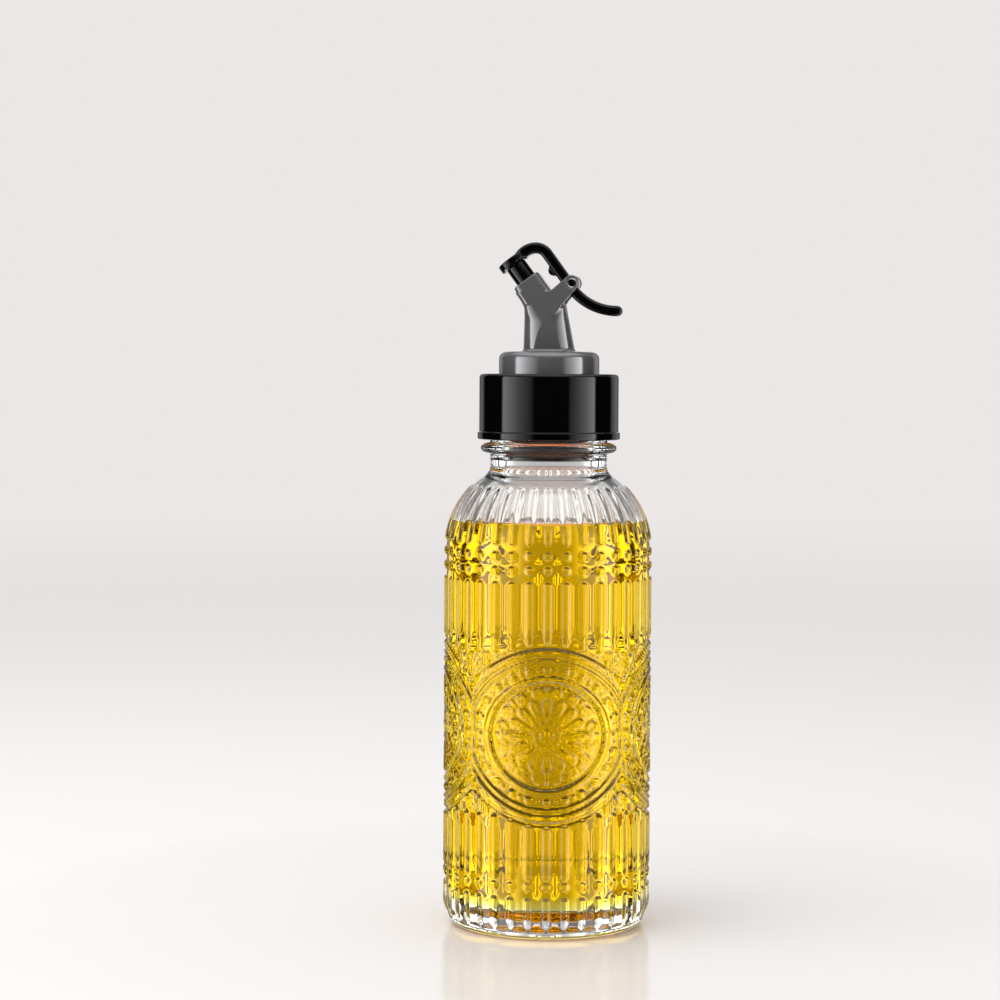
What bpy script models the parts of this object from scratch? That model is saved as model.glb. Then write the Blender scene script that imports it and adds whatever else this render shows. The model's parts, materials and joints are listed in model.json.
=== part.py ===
"""Lever-pour oil bottle: a pressed-glass bottle, a black screw cap and a grey pourer with a lever stopper.

Metres, +Z up. The origin is the middle of the bottle's foot. The pourer lies in the XZ plane: the nozzle
leans towards -X and the lever's tail reaches towards +X.
"""

import math

import bmesh
import bpy
from mathutils import Matrix, Vector

# Shared clearances and mesh fineness
SEAT_GAP = 0.0003
SLIDE_GAP = 0.0003
CUT_OVERRUN = 0.0020
WELD_SHARE = 0.000001
BEVEL_ANGLE = math.radians(60)
FLAT_ANGLE = math.radians(1)
ROUND_STEPS = 36
SMALL_STEPS = 32
FILLET_STEPS = 4
RIGHT_ANGLE = math.pi / 2

# Glass bottle
BOTTLE_HEIGHT = 0.1663
BODY_RADIUS = 0.0325
GLASS_WALL = 0.0030
FLOOR_THICKNESS = 0.0072
FLOOR_CORNER_RADIUS = 0.0060
FOOT_RADIUS = 0.0275
FOOT_CORNER_HEIGHT = 0.0080
FOOT_RING_WIDTH = 0.0050
FOOT_STEPS = 3
PUNT_DEPTH = 0.0010
PUNT_SLOPE_WIDTH = 0.0020
SHOULDER_CENTRE_RADIUS = 0.0031
SHOULDER_RISE = 0.0280
SHOULDER_STEPS = 4
PLAIN_NECK_LENGTH = 0.0056
NECK_FILLET_RADIUS = 0.0040
NECK_FILLET_TURN = math.radians(55)
NECK_RADIUS = 0.0182
NECK_WALL = 0.0032
TRANSFER_BEAD_REACH = 0.0031
TRANSFER_BEAD_THICKNESS = 0.0034
TRANSFER_BEAD_DROP = 0.0010
TRANSFER_BEAD_STEPS = 4
RIM_ROUNDING = 0.0006

# Pressed relief: a flute or rib on each facet, and round medallions between the upper and the lower ribs
RELIEF_HEIGHT = 0.00066
RELIEF_SINK = 0.0010
RIB_COUNT = 36
RIB_SIDE_SHARE = 0.29
RIB_TOP_SHARE = 0.37
RIB_END_MARGIN = 0.0012
RIB_END_SLOPE = 0.0006
UPPER_RIB_DROP = 0.0073
LOWER_RIB_RISE = 0.0091
FLUTE_TOP_SHARE = 0.35
FLUTE_STEPS = 4
FLUTE_LOW_RISE = 0.0014
FLUTE_TOP_DROP = 0.00155
MEDALLION_COUNT = 4
MEDALLION_PLACE_SHARE = 0.501
MEDALLION_CORNER_OVERLAP = 0.0039
MEDALLION_BAND = 0.0040
MEDALLION_STEPS = 28
MEDALLION_RIB_GAP = 0.0004
CORNER_SHELL_DROP = 0.0030
ROSETTE_RING_INSET = 0.0080
ROSETTE_RING_WIDTH = 0.0020
ROSETTE_STEPS = 20
PATTERN_TURN = math.radians(6)

# Rim gasket
GASKET_THICKNESS = 0.0016
GASKET_INSET = 0.0003

# Screw cap
THREAD_ROOM = 0.0018
CAP_WALL = 0.0018
CAP_ROOF = 0.0018
CAP_HEIGHT = 0.0204
CAP_EDGE_RADIUS = 0.0012
CAP_BEAD_STEP = 0.0005
CAP_BEAD_HEIGHT = 0.0021
CAP_MOUTH_CHAMFER = 0.0005

# Pourer base: clamp flange, collar and stem
CLAMP_OVERHANG = 0.0012
CLAMP_THICKNESS = 0.0016
COLLAR_RADIUS = 0.0157
COLLAR_HEIGHT = 0.0090
COLLAR_FILLET = 0.0023
COLLAR_STEPS = 5
STEM_WALL = 0.0018
STEM_LENGTH = 0.0215
STEM_BORE_RISE = 0.0070
CHANNEL_CONE_RISE = 0.0080
CHANNEL_TIP_SHARE = 0.5

# Pourer neck, from the collar's top face up to the fork
NECK_BASE_WIDTH_SHARE = 1.0125
NECK_BASE_DEPTH_SHARE = 0.7875
NECK_TOP_LEFT = 0.0076
NECK_TOP_RIGHT = 0.0046
NECK_RISE = 0.0176
NECK_SINK = 0.0010
NECK_FLARE = 0.0022
NECK_FLARE_START_SHARE = 0.72
NECK_DEPTH_END_SHARE = 0.5
NECK_ROUNDNESS_BASE = 2.3
NECK_ROUNDNESS_TOP = 4.6
NECK_SECTIONS = 8
NECK_SECTION_POINTS = 32

# Pouring arm and black nozzle tip, along an axis that leans towards -X
NOZZLE_TILT = math.radians(36.5)
MOUTH_X = -0.0072
MOUTH_ABOVE_FORK = 0.00455
ARM_CORNER_RADIUS = 0.0022
ARM_LENGTH = 0.0095
ARM_EDGE = 0.0005
SOCKET_WALL = 0.0009
NOZZLE_RADIUS = 0.0033
NOZZLE_WALL = 0.0011
NOZZLE_REACH = 0.0060
NOZZLE_SOCKET_DEPTH = 0.0048
NOZZLE_LIP = 0.0006

# Clevis arm with two ears, its root points measured from the fork, and the pivot pin
PIVOT_X = 0.00725
PIVOT_ABOVE_FORK = 0.0037
EAR_RADIUS = 0.0024
EAR_THICKNESS = 0.00195
EAR_ROOT_UPPER = (-0.0010, -0.0004)
EAR_ROOT_INNER = (-0.0020, -0.0057)
EAR_ROOT_LOWER = (0.0030, -0.0042)
EAR_EDGE = 0.0004
EAR_STEPS = 16
SLOT_RADIUS = 0.0066
PIN_RADIUS = 0.00115
PIN_RECESS = 0.0003
PIN_EYE_RADIUS = 0.0018
PIN_EYE_DEPTH = 0.0005
PIN_STEPS = 24

# Pour lever: two arcs over the arch, a straight arm past the pivot and an arc along the tail
LEVER_WIDTH = 0.0060
LEVER_THICKNESS = 0.0035
LEVER_TIP_THICKNESS = 0.0033
ARCH_TOP_AHEAD = 0.0080
ARCH_TOP_ABOVE = 0.0033
ARCH_LEFT_RADIUS = 0.00585
ARCH_LEFT_TURN = math.radians(58)
ARCH_RIGHT_RADIUS = 0.0043
ARCH_STEPS = 9
PIVOT_OFFSET = 0.00108
LEVER_BELOW_PIVOT = 0.0009
TAIL_RADIUS = 0.0177
TAIL_STEPS = 12
TIP_STEPS = 8
LEVER_HUB_RADIUS = 0.0022
LEVER_EDGE = 0.0007
NUB_RADIUS = 0.0017
NUB_ALONG_SHARE = 0.42
NUB_SINK = 0.0004
STOPPER_CAP_OVERHANG = 0.0015
STOPPER_CAP_THICKNESS = 0.0021
LIP_DEPTH = 0.0006
SWING_STEPS = 128
SEAL_OVERLAP = 0.0007
SEAL_PAD_THICKNESS = 0.0010

# Rubber stopper around the stem
STOPPER_FIN_REACH = 0.0027
STOPPER_SLEEVE_WALL = 0.0040
STOPPER_LENGTH = 0.0222
STOPPER_FIN_COUNT = 3
STOPPER_FIN_THICKNESS = 0.0012
STOPPER_FIN_PITCH = 0.0036
STOPPER_FIRST_FIN_DROP = 0.0032
STOPPER_END_CHAMFER = 0.0008
FIN_TAPER_SHARE = 0.25

# Radii and widths that follow from what they fit around
NECK_BORE_RADIUS = NECK_RADIUS - NECK_WALL
CAP_BORE_RADIUS = NECK_RADIUS + THREAD_ROOM
CAP_RADIUS = CAP_BORE_RADIUS + CAP_WALL
CAP_HOLE_RADIUS = COLLAR_RADIUS + SLIDE_GAP
CLAMP_RADIUS = NECK_RADIUS + CLAMP_OVERHANG
STOPPER_CORE_RADIUS = NECK_BORE_RADIUS - STOPPER_FIN_REACH
STEM_RADIUS = STOPPER_CORE_RADIUS - STOPPER_SLEEVE_WALL - SEAT_GAP
STEM_BORE_RADIUS = STEM_RADIUS - STEM_WALL
NECK_BASE_HALF_WIDTH = STEM_RADIUS * NECK_BASE_WIDTH_SHARE
NECK_BASE_HALF_DEPTH = STEM_RADIUS * NECK_BASE_DEPTH_SHARE
CHANNEL_RADIUS = NOZZLE_RADIUS - NOZZLE_WALL
SEAL_PAD_RADIUS = CHANNEL_RADIUS + SEAL_OVERLAP
STOPPER_CAP_RADIUS = NOZZLE_RADIUS + STOPPER_CAP_OVERHANG
STOPPER_CAP_START = NOZZLE_REACH + SEAT_GAP
ARM_WIDTH = 2 * (NOZZLE_RADIUS + SEAT_GAP + SOCKET_WALL)
ARM_DEPTH = LEVER_WIDTH + 2 * (SLIDE_GAP + EAR_THICKNESS)

# Heights that follow from the stack of parts on the bottle's rim
GASKET_BOTTOM = BOTTLE_HEIGHT + SEAT_GAP
GASKET_TOP = GASKET_BOTTOM + GASKET_THICKNESS
CLAMP_BOTTOM = GASKET_TOP + SEAT_GAP
CLAMP_TOP = CLAMP_BOTTOM + CLAMP_THICKNESS
CAP_ROOF_BOTTOM = CLAMP_TOP + SEAT_GAP
CAP_TOP = CAP_ROOF_BOTTOM + CAP_ROOF
CAP_BOTTOM = CAP_TOP - CAP_HEIGHT
COLLAR_TOP = CLAMP_TOP + COLLAR_HEIGHT
FORK_HEIGHT = COLLAR_TOP + NECK_RISE
STEM_BOTTOM = CLAMP_BOTTOM - STEM_LENGTH
MOUTH = Vector((MOUTH_X, 0, FORK_HEIGHT + MOUTH_ABOVE_FORK))
NOZZLE_AXIS = Vector((-math.sin(NOZZLE_TILT), 0, math.cos(NOZZLE_TILT)))
PIVOT = Vector((PIVOT_X, 0, FORK_HEIGHT + PIVOT_ABOVE_FORK))

# The bottle's bead stays below the cap's mouth, and the shoulder below the bead
TRANSFER_BEAD_HEIGHT = CAP_BOTTOM - TRANSFER_BEAD_DROP - TRANSFER_BEAD_THICKNESS / 2
SHOULDER_TOP = TRANSFER_BEAD_HEIGHT - TRANSFER_BEAD_THICKNESS / 2 - PLAIN_NECK_LENGTH
SHOULDER_SPREAD = BODY_RADIUS - SHOULDER_CENTRE_RADIUS
SHOULDER_TOP_ANGLE = math.acos((NECK_RADIUS - SHOULDER_CENTRE_RADIUS) / SHOULDER_SPREAD)
SHOULDER_BASE_HEIGHT = SHOULDER_TOP - SHOULDER_RISE * math.sin(SHOULDER_TOP_ANGLE)

# The relief's ground lies inside the widest radius, and each medallion reaches its neighbours
GROUND_RADIUS = BODY_RADIUS - RELIEF_HEIGHT
RIB_PITCH = math.tau / RIB_COUNT
FACET_RADIUS = GROUND_RADIUS / math.cos(RIB_PITCH / 2)
SHOULDER_WIDTH = FACET_RADIUS - SHOULDER_CENTRE_RADIUS
FILLET_END_RADIUS = NECK_RADIUS + NECK_FILLET_RADIUS * (1 - math.cos(NECK_FILLET_TURN))
FILLET_END_ANGLE = math.acos((FILLET_END_RADIUS - SHOULDER_CENTRE_RADIUS) / SHOULDER_WIDTH)
FILLET_END_RISE = SHOULDER_RISE * math.sin(FILLET_END_ANGLE)
FLUTE_HIGH_RISE = FILLET_END_RISE - FLUTE_TOP_DROP
MEDALLION_HALF_WIDTH = GROUND_RADIUS * math.sin(math.pi / MEDALLION_COUNT)
MEDALLION_RADIUS = MEDALLION_HALF_WIDTH + MEDALLION_CORNER_OVERLAP
RELIEF_SPAN = SHOULDER_BASE_HEIGHT - FOOT_CORNER_HEIGHT
MEDALLION_HEIGHT = FOOT_CORNER_HEIGHT + RELIEF_SPAN * MEDALLION_PLACE_SHARE
UPPER_RIB_TOP = SHOULDER_BASE_HEIGHT - UPPER_RIB_DROP
LOWER_RIB_BOTTOM = FOOT_CORNER_HEIGHT + LOWER_RIB_RISE

# Colours in linear light, roughness and metallic values
FINISHES = {
    "clear_glass": ((0.92, 0.93, 0.92, 1), 0.05, 0),
    "black_abs": ((0.006, 0.006, 0.006, 1), 0.18, 0),
    "grey_abs": ((0.075, 0.075, 0.078, 1), 0.25, 0),
    "black_silicone": ((0.012, 0.012, 0.012, 1), 0.6, 0),
    "white_silicone": ((0.8, 0.8, 0.78, 1), 0.6, 0),
}


def finish(name):
    """Material with the named finish, made once."""
    material = bpy.data.materials.get(name)
    if material is None:
        colour, roughness, metallic = FINISHES[name]
        material = bpy.data.materials.new(name)
        material.use_nodes = True
        shader = material.node_tree.nodes["Principled BSDF"]
        shader.inputs["Base Color"].default_value = colour
        shader.inputs["Roughness"].default_value = roughness
        shader.inputs["Metallic"].default_value = metallic
        if name == "clear_glass":
            shader.inputs["Transmission Weight"].default_value = 1
    return material


def new_object(name, mesh, group, finish_name=None):
    """Object for a mesh, linked to a collection and given its finish."""
    obj = bpy.data.objects.new(name, mesh)
    group.objects.link(obj)
    if finish_name:
        mesh.materials.append(finish(finish_name))
    if group is CUTTERS:
        obj.hide_render = True
        obj.display_type = "WIRE"
    return obj


def arc(centre, radius_a, radius_b, start, end, steps):
    """Points on an ellipse arc from one angle to another, both ends included."""
    points = []
    for i in range(steps + 1):
        angle = start + (end - start) * i / steps
        points.append((centre[0] + radius_a * math.cos(angle), centre[1] + radius_b * math.sin(angle)))
    return points


def turned(name, profile, group, finish_name=None, closed=True, steps=ROUND_STEPS):
    """Solid of revolution around Z: the profile's (radius, height) points run down the outer side."""
    mesh = bpy.data.meshes.new(name)
    count = len(profile)
    edges = [(i, i + 1) for i in range(count - 1)]
    if closed:
        edges.append((count - 1, 0))
    mesh.from_pydata([(radius, 0, height) for radius, height in profile], edges, [])
    obj = new_object(name, mesh, group, finish_name)
    screw = obj.modifiers.new("turn", "SCREW")
    screw.axis = "Z"
    screw.angle = math.tau
    screw.steps = steps
    screw.render_steps = steps
    screw.use_merge_vertices = True
    screw.merge_threshold = WELD_SHARE * BODY_RADIUS
    screw.use_smooth_shade = True
    return obj


def cylinder(name, radius, length, group, finish_name=None, steps=SMALL_STEPS, base=0):
    """Solid cylinder along Z that starts at the height base."""
    mesh = bpy.data.meshes.new(name)
    work = bmesh.new()
    bmesh.ops.create_cone(work, cap_ends=True, segments=steps, radius1=radius, radius2=radius, depth=length)
    bmesh.ops.translate(work, verts=work.verts, vec=(0, 0, base + length / 2))
    work.to_mesh(mesh)
    work.free()
    return new_object(name, mesh, group, finish_name)


def made_mesh(obj, name):
    """Mesh of an object as its modifiers leave it, in world places. The object itself is removed."""
    bpy.context.view_layer.update()
    mesh = bpy.data.meshes.new_from_object(obj.evaluated_get(bpy.context.evaluated_depsgraph_get()))
    mesh.transform(obj.matrix_world)
    bpy.data.objects.remove(obj)
    mesh.name = name
    return mesh


def block(name, width, depth, height):
    """Box cutter centred on its origin."""
    mesh = bpy.data.meshes.new(name)
    work = bmesh.new()
    bmesh.ops.create_cube(work, size=1)
    bmesh.ops.scale(work, verts=work.verts, vec=(width, depth, height))
    work.to_mesh(mesh)
    work.free()
    return new_object(name, mesh, CUTTERS)


def flat_outline(name, outline, depth, edge, group, finish_name=None):
    """Plate from an outline of (x, z) points, centred on y = 0, with small rounded edges."""
    curve = bpy.data.curves.new(name, "CURVE")
    curve.dimensions = "2D"
    curve.fill_mode = "BOTH"
    curve.extrude = depth / 2
    spline = curve.splines.new("POLY")
    spline.points.add(len(outline) - 1)
    for point, (x, z) in zip(spline.points, outline):
        point.co = (x, z, 0, 1)
    spline.use_cyclic_u = True
    drawn = new_object(name + "_drawn", curve, CUTTERS)
    drawn.rotation_euler = (RIGHT_ANGLE, 0, 0)
    mesh = made_mesh(drawn, name)
    work = bmesh.new()
    work.from_mesh(mesh)
    bmesh.ops.remove_doubles(work, verts=work.verts, dist=WELD_SHARE * BODY_RADIUS)
    bmesh.ops.dissolve_limit(work, angle_limit=FLAT_ANGLE, verts=work.verts, edges=work.edges)
    bmesh.ops.recalc_face_normals(work, faces=work.faces)
    work.to_mesh(mesh)
    work.free()
    mesh.materials.clear()
    obj = new_object(name, mesh, group, finish_name)
    bevel = obj.modifiers.new("edge", "BEVEL")
    bevel.width = edge
    bevel.segments = 2
    bevel.limit_method = "ANGLE"
    bevel.angle_limit = BEVEL_ANGLE
    return obj


def join(obj, tool, operation):
    """Boolean of an object with a tool, kept as a modifier."""
    modifier = obj.modifiers.new(operation.lower() + "_" + tool.name, "BOOLEAN")
    modifier.operation = operation
    modifier.object = tool


def along_nozzle(obj, distance=0):
    """Places an object so that its Z axis is the nozzle's, starting at a distance past the mouth."""
    obj.rotation_euler = (0, -NOZZLE_TILT, 0)
    obj.location = MOUTH + NOZZLE_AXIS * distance
    return obj


def across(obj, centre):
    """Turns an object's Z axis to lie along Y, with its middle at centre."""
    obj.rotation_euler = (RIGHT_ANGLE, 0, 0)
    obj.location = centre
    return obj


def shoulder_inside():
    """Inner shoulder arc from the neck's bore down to the wall, as (radius, height) points."""
    width = SHOULDER_SPREAD - GLASS_WALL
    start = math.acos((NECK_BORE_RADIUS - SHOULDER_CENTRE_RADIUS) / width)
    centre = (SHOULDER_CENTRE_RADIUS, SHOULDER_BASE_HEIGHT)
    return arc(centre, width, SHOULDER_RISE - GLASS_WALL, start, 0, SHOULDER_STEPS)


def shoulder_outside():
    """Outer shoulder: a fillet under the neck, then an arc that stops at each end of the flutes."""
    radius = NECK_FILLET_RADIUS
    turn = NECK_FILLET_TURN
    height = SHOULDER_BASE_HEIGHT + FILLET_END_RISE + radius * math.sin(turn)
    fillet = arc((NECK_RADIUS + radius, height), radius, radius, math.pi, math.pi + turn, FILLET_STEPS)
    centre = (SHOULDER_CENTRE_RADIUS, SHOULDER_BASE_HEIGHT)
    start = math.asin(FLUTE_HIGH_RISE / SHOULDER_RISE)
    end = math.asin(FLUTE_LOW_RISE / SHOULDER_RISE)
    return fillet + arc(centre, SHOULDER_WIDTH, SHOULDER_RISE, start, end, FLUTE_STEPS)


def bottle_profile():
    """Half section of the bottle, from the middle of the floor over the rim to the middle of the foot."""
    floor = FLOOR_THICKNESS
    inner = BODY_RADIUS - GLASS_WALL
    corner = FLOOR_CORNER_RADIUS
    half_bead = TRANSFER_BEAD_THICKNESS / 2
    inside = [(0, floor)]
    inside += arc((inner - corner, floor + corner), corner, corner, -RIGHT_ANGLE, 0, FOOT_STEPS)
    inside += shoulder_inside()[::-1]
    rim = [(NECK_BORE_RADIUS, BOTTLE_HEIGHT - RIM_ROUNDING)]
    rim += [(NECK_BORE_RADIUS + RIM_ROUNDING, BOTTLE_HEIGHT)]
    rim += [(NECK_RADIUS - RIM_ROUNDING, BOTTLE_HEIGHT)]
    rim += [(NECK_RADIUS, BOTTLE_HEIGHT - RIM_ROUNDING)]
    bead_middle = (NECK_RADIUS, TRANSFER_BEAD_HEIGHT)
    bead = arc(bead_middle, TRANSFER_BEAD_REACH, half_bead, RIGHT_ANGLE, -RIGHT_ANGLE, TRANSFER_BEAD_STEPS)
    medallion_top = MEDALLION_HEIGHT + MEDALLION_RADIUS
    medallion_bottom = MEDALLION_HEIGHT - MEDALLION_RADIUS
    rows = (UPPER_RIB_TOP, medallion_top, medallion_bottom, LOWER_RIB_BOTTOM)
    body = [(FACET_RADIUS, height) for height in rows]
    foot_width = FACET_RADIUS - FOOT_RADIUS
    foot_centre = (FOOT_RADIUS, FOOT_CORNER_HEIGHT)
    foot = arc(foot_centre, foot_width, FOOT_CORNER_HEIGHT, 0, -RIGHT_ANGLE, FOOT_STEPS)
    ring_inner = FOOT_RADIUS - FOOT_RING_WIDTH
    punt = [(ring_inner, 0), (ring_inner - PUNT_SLOPE_WIDTH, PUNT_DEPTH), (0, PUNT_DEPTH)]
    return inside + rim + bead + shoulder_outside() + body + foot + punt


def facet_columns(work, low, high):
    """Outer facets between two heights: a list for each column round the bottle, from the top down."""
    columns = [[] for _ in range(RIB_COUNT)]
    for face in work.faces:
        centre = face.calc_center_median()
        if low < centre.z < high and face.normal.dot(centre) > 0:
            angle = math.atan2(centre.y, centre.x) % math.tau
            columns[int(angle / RIB_PITCH)].append(face)
    return columns


def column_sides(column):
    """Corners down the two sides of a column of facets, one list for each side."""
    corners = {vertex for face in column for vertex in face.verts}
    middle = sum((vertex.co for vertex in corners), Vector())
    sides = ([], [])
    for vertex in sorted(corners, key=lambda vertex: -vertex.co.z):
        turn = vertex.co.x * middle.y - vertex.co.y * middle.x
        sides[turn > 0].append(vertex)
    return sides


def raise_column(work, column, loops):
    """Raises a rib on a column of facets, by loops inside its border.

    Each loop is a share across from the sides, a length along from the ends and a rise off the facets.
    """
    left, right = column_sides(column)
    bmesh.ops.delete(work, geom=column, context="FACES_KEEP_BOUNDARY")
    last = len(left) - 1
    outer = left + right[::-1]
    for share, margin, rise in loops:
        inner_left = []
        inner_right = []
        for i in range(last + 1):
            shift = (left[i].normal + right[i].normal).normalized() * rise
            if i == 0:
                shift += (left[1].co - left[0].co).normalized() * margin
            if i == last:
                shift += (left[last - 1].co - left[last].co).normalized() * margin
            inner_left.append(work.verts.new(left[i].co.lerp(right[i].co, share) + shift))
            inner_right.append(work.verts.new(right[i].co.lerp(left[i].co, share) + shift))
        inner = inner_left + inner_right[::-1]
        for i in range(len(outer)):
            j = (i + 1) % len(outer)
            work.faces.new((outer[i], outer[j], inner[j], inner[i]))
        outer = inner
    for i in range(last):
        work.faces.new((outer[i], outer[i + 1], outer[-2 - i], outer[-1 - i]))


def rib_end(angle):
    """Distance from the medallions' middle height to the ribs' ends, at an angle round the bottle."""
    quarter = math.tau / MEDALLION_COUNT
    side = GROUND_RADIUS * math.sin((angle + quarter / 2) % quarter - quarter / 2)
    reach = MEDALLION_RADIUS + MEDALLION_RIB_GAP
    return max(math.sqrt(reach**2 - side**2), MEDALLION_RADIUS - CORNER_SHELL_DROP)


def press_ribs(mesh):
    """Gives the turned bottle its flutes and ribs, whose inner ends follow the medallions."""
    work = bmesh.new()
    work.from_mesh(mesh)
    for vertex in work.verts:
        end = vertex.co.z - MEDALLION_HEIGHT
        if vertex.co.xy.length > GROUND_RADIUS and abs(abs(end) - MEDALLION_RADIUS) < RIB_END_SLOPE:
            angle = math.atan2(vertex.co.y, vertex.co.x) - RIB_PITCH / 2
            vertex.co.z = MEDALLION_HEIGHT + math.copysign(rib_end(angle), end)
    work.normal_update()
    lower = facet_columns(work, LOWER_RIB_BOTTOM, MEDALLION_HEIGHT - MEDALLION_BAND)
    upper = facet_columns(work, MEDALLION_HEIGHT + MEDALLION_BAND, UPPER_RIB_TOP)
    base = SHOULDER_BASE_HEIGHT
    flutes = facet_columns(work, base + FLUTE_LOW_RISE, base + FLUTE_HIGH_RISE)
    side = (RIB_SIDE_SHARE, RIB_END_MARGIN, 0)
    top = (RIB_TOP_SHARE, RIB_END_MARGIN + RIB_END_SLOPE, RELIEF_HEIGHT)
    for column in lower + upper:
        raise_column(work, column, (side, top))
    for column in flutes:
        raise_column(work, column, ((FLUTE_TOP_SHARE, RIB_END_MARGIN, RELIEF_HEIGHT),))
    bmesh.ops.recalc_face_normals(work, faces=work.faces)
    work.to_mesh(mesh)
    work.free()


def relief_shell():
    """Tube that holds the medallions' rings: from inside the wall to the bottle's widest radius."""
    inner = GROUND_RADIUS - RELIEF_SINK
    low = MEDALLION_HEIGHT - MEDALLION_RADIUS - CUT_OVERRUN
    high = MEDALLION_HEIGHT + MEDALLION_RADIUS + CUT_OVERRUN
    profile = [(inner, high), (BODY_RADIUS, high), (BODY_RADIUS, low), (inner, low)]
    shell = turned("relief_shell", profile, CUTTERS)
    shell.rotation_euler = (0, 0, PATTERN_TURN - RIB_PITCH / 2)
    return shell


def medallion_ring(name, radius, width, steps, angle, shell):
    """Raised ring round a medallion's middle, cut straight where it meets the next medallion."""
    start = MEDALLION_HALF_WIDTH - 2 * RELIEF_SINK
    end = BODY_RADIUS + CUT_OVERRUN
    profile = [(radius - width, end), (radius, end), (radius, start), (radius - width, start)]
    ring = turned(name, profile, CUTTERS, steps=steps)
    turn = (RIGHT_ANGLE, 0, angle + RIGHT_ANGLE)
    place = (0, 0, MEDALLION_HEIGHT)
    if radius > MEDALLION_HALF_WIDTH:
        room_width = 2 * (MEDALLION_HALF_WIDTH - SLIDE_GAP)
        room = block(name + "_room", room_width, 2 * (radius + CUT_OVERRUN), 2 * end)
        room.rotation_euler = turn
        room.location = place
        join(ring, room, "INTERSECT")
    ring.rotation_euler = turn
    ring.location = place
    join(ring, shell, "INTERSECT")
    return ring


def glass_bottle():
    """Thick pressed bottle: hollow, with flutes on its shoulder, ribs and round medallions on its body."""
    mesh = made_mesh(turned("bottle_blank", bottle_profile(), CUTTERS, closed=False), "glass_bottle")
    press_ribs(mesh)
    mesh.transform(Matrix.Rotation(PATTERN_TURN - RIB_PITCH / 2, 4, "Z"))
    bottle = new_object("glass_bottle", mesh, PARTS, "clear_glass")
    shell = relief_shell()
    rosette_radius = MEDALLION_RADIUS - ROSETTE_RING_INSET
    rings = (
        ("medallion_band", MEDALLION_RADIUS, MEDALLION_BAND, MEDALLION_STEPS),
        ("rosette_ring", rosette_radius, ROSETTE_RING_WIDTH, ROSETTE_STEPS),
    )
    for i in range(MEDALLION_COUNT):
        angle = PATTERN_TURN + math.tau * i / MEDALLION_COUNT
        for name, radius, width, steps in rings:
            ring = medallion_ring(f"{name}_{i}", radius, width, steps, angle, shell)
            join(bottle, ring, "UNION")
    return bottle


def rim_gasket():
    """Flat sealing ring between the bottle's rim and the pourer's flange."""
    inner = NECK_BORE_RADIUS + GASKET_INSET
    profile = [
        (inner, GASKET_TOP),
        (NECK_RADIUS, GASKET_TOP),
        (NECK_RADIUS, GASKET_BOTTOM),
        (inner, GASKET_BOTTOM),
    ]
    return turned("rim_gasket", profile, PARTS, "white_silicone", steps=SMALL_STEPS)


def screw_cap():
    """Open-topped collar that clamps the pourer's flange onto the rim."""
    edge = CAP_EDGE_RADIUS
    bead_top = CAP_BOTTOM + CAP_BEAD_HEIGHT
    top_edge = arc((CAP_RADIUS - edge, CAP_TOP - edge), edge, edge, RIGHT_ANGLE, 0, FILLET_STEPS)
    step = CAP_BEAD_STEP
    skirt = [
        (CAP_RADIUS, bead_top + step),
        (CAP_RADIUS + step, bead_top),
        (CAP_RADIUS + step, CAP_BOTTOM + step),
        (CAP_RADIUS, CAP_BOTTOM),
        (CAP_BORE_RADIUS + CAP_MOUTH_CHAMFER, CAP_BOTTOM),
        (CAP_BORE_RADIUS, CAP_BOTTOM + CAP_MOUTH_CHAMFER),
    ]
    roof = [
        (CAP_BORE_RADIUS, CAP_ROOF_BOTTOM),
        (CAP_HOLE_RADIUS, CAP_ROOF_BOTTOM),
        (CAP_HOLE_RADIUS, CAP_TOP),
    ]
    return turned("screw_cap", top_edge + skirt + roof, PARTS, "black_abs")


def neck_stopper():
    """Rubber sleeve on the pourer's stem, with fins that seal against the neck's bore."""
    top = CLAMP_BOTTOM - SEAT_GAP
    bottom = top - STOPPER_LENGTH
    bore = STEM_RADIUS + SEAT_GAP
    fin_radius = NECK_BORE_RADIUS - SLIDE_GAP
    profile = [(bore, top), (STOPPER_CORE_RADIUS, top)]
    for i in range(STOPPER_FIN_COUNT):
        fin_top = top - STOPPER_FIRST_FIN_DROP - i * STOPPER_FIN_PITCH
        fin_bottom = fin_top - STOPPER_FIN_THICKNESS
        taper = STOPPER_FIN_THICKNESS * FIN_TAPER_SHARE
        profile += [
            (STOPPER_CORE_RADIUS, fin_top),
            (fin_radius, fin_top - taper),
            (fin_radius, fin_bottom + taper),
            (STOPPER_CORE_RADIUS, fin_bottom - STOPPER_FIN_THICKNESS),
        ]
    profile += [
        (STOPPER_CORE_RADIUS, bottom + STOPPER_END_CHAMFER),
        (STOPPER_CORE_RADIUS - STOPPER_END_CHAMFER, bottom),
        (bore, bottom),
    ]
    return turned("neck_stopper", profile, PARTS, "black_silicone", steps=SMALL_STEPS)


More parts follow.
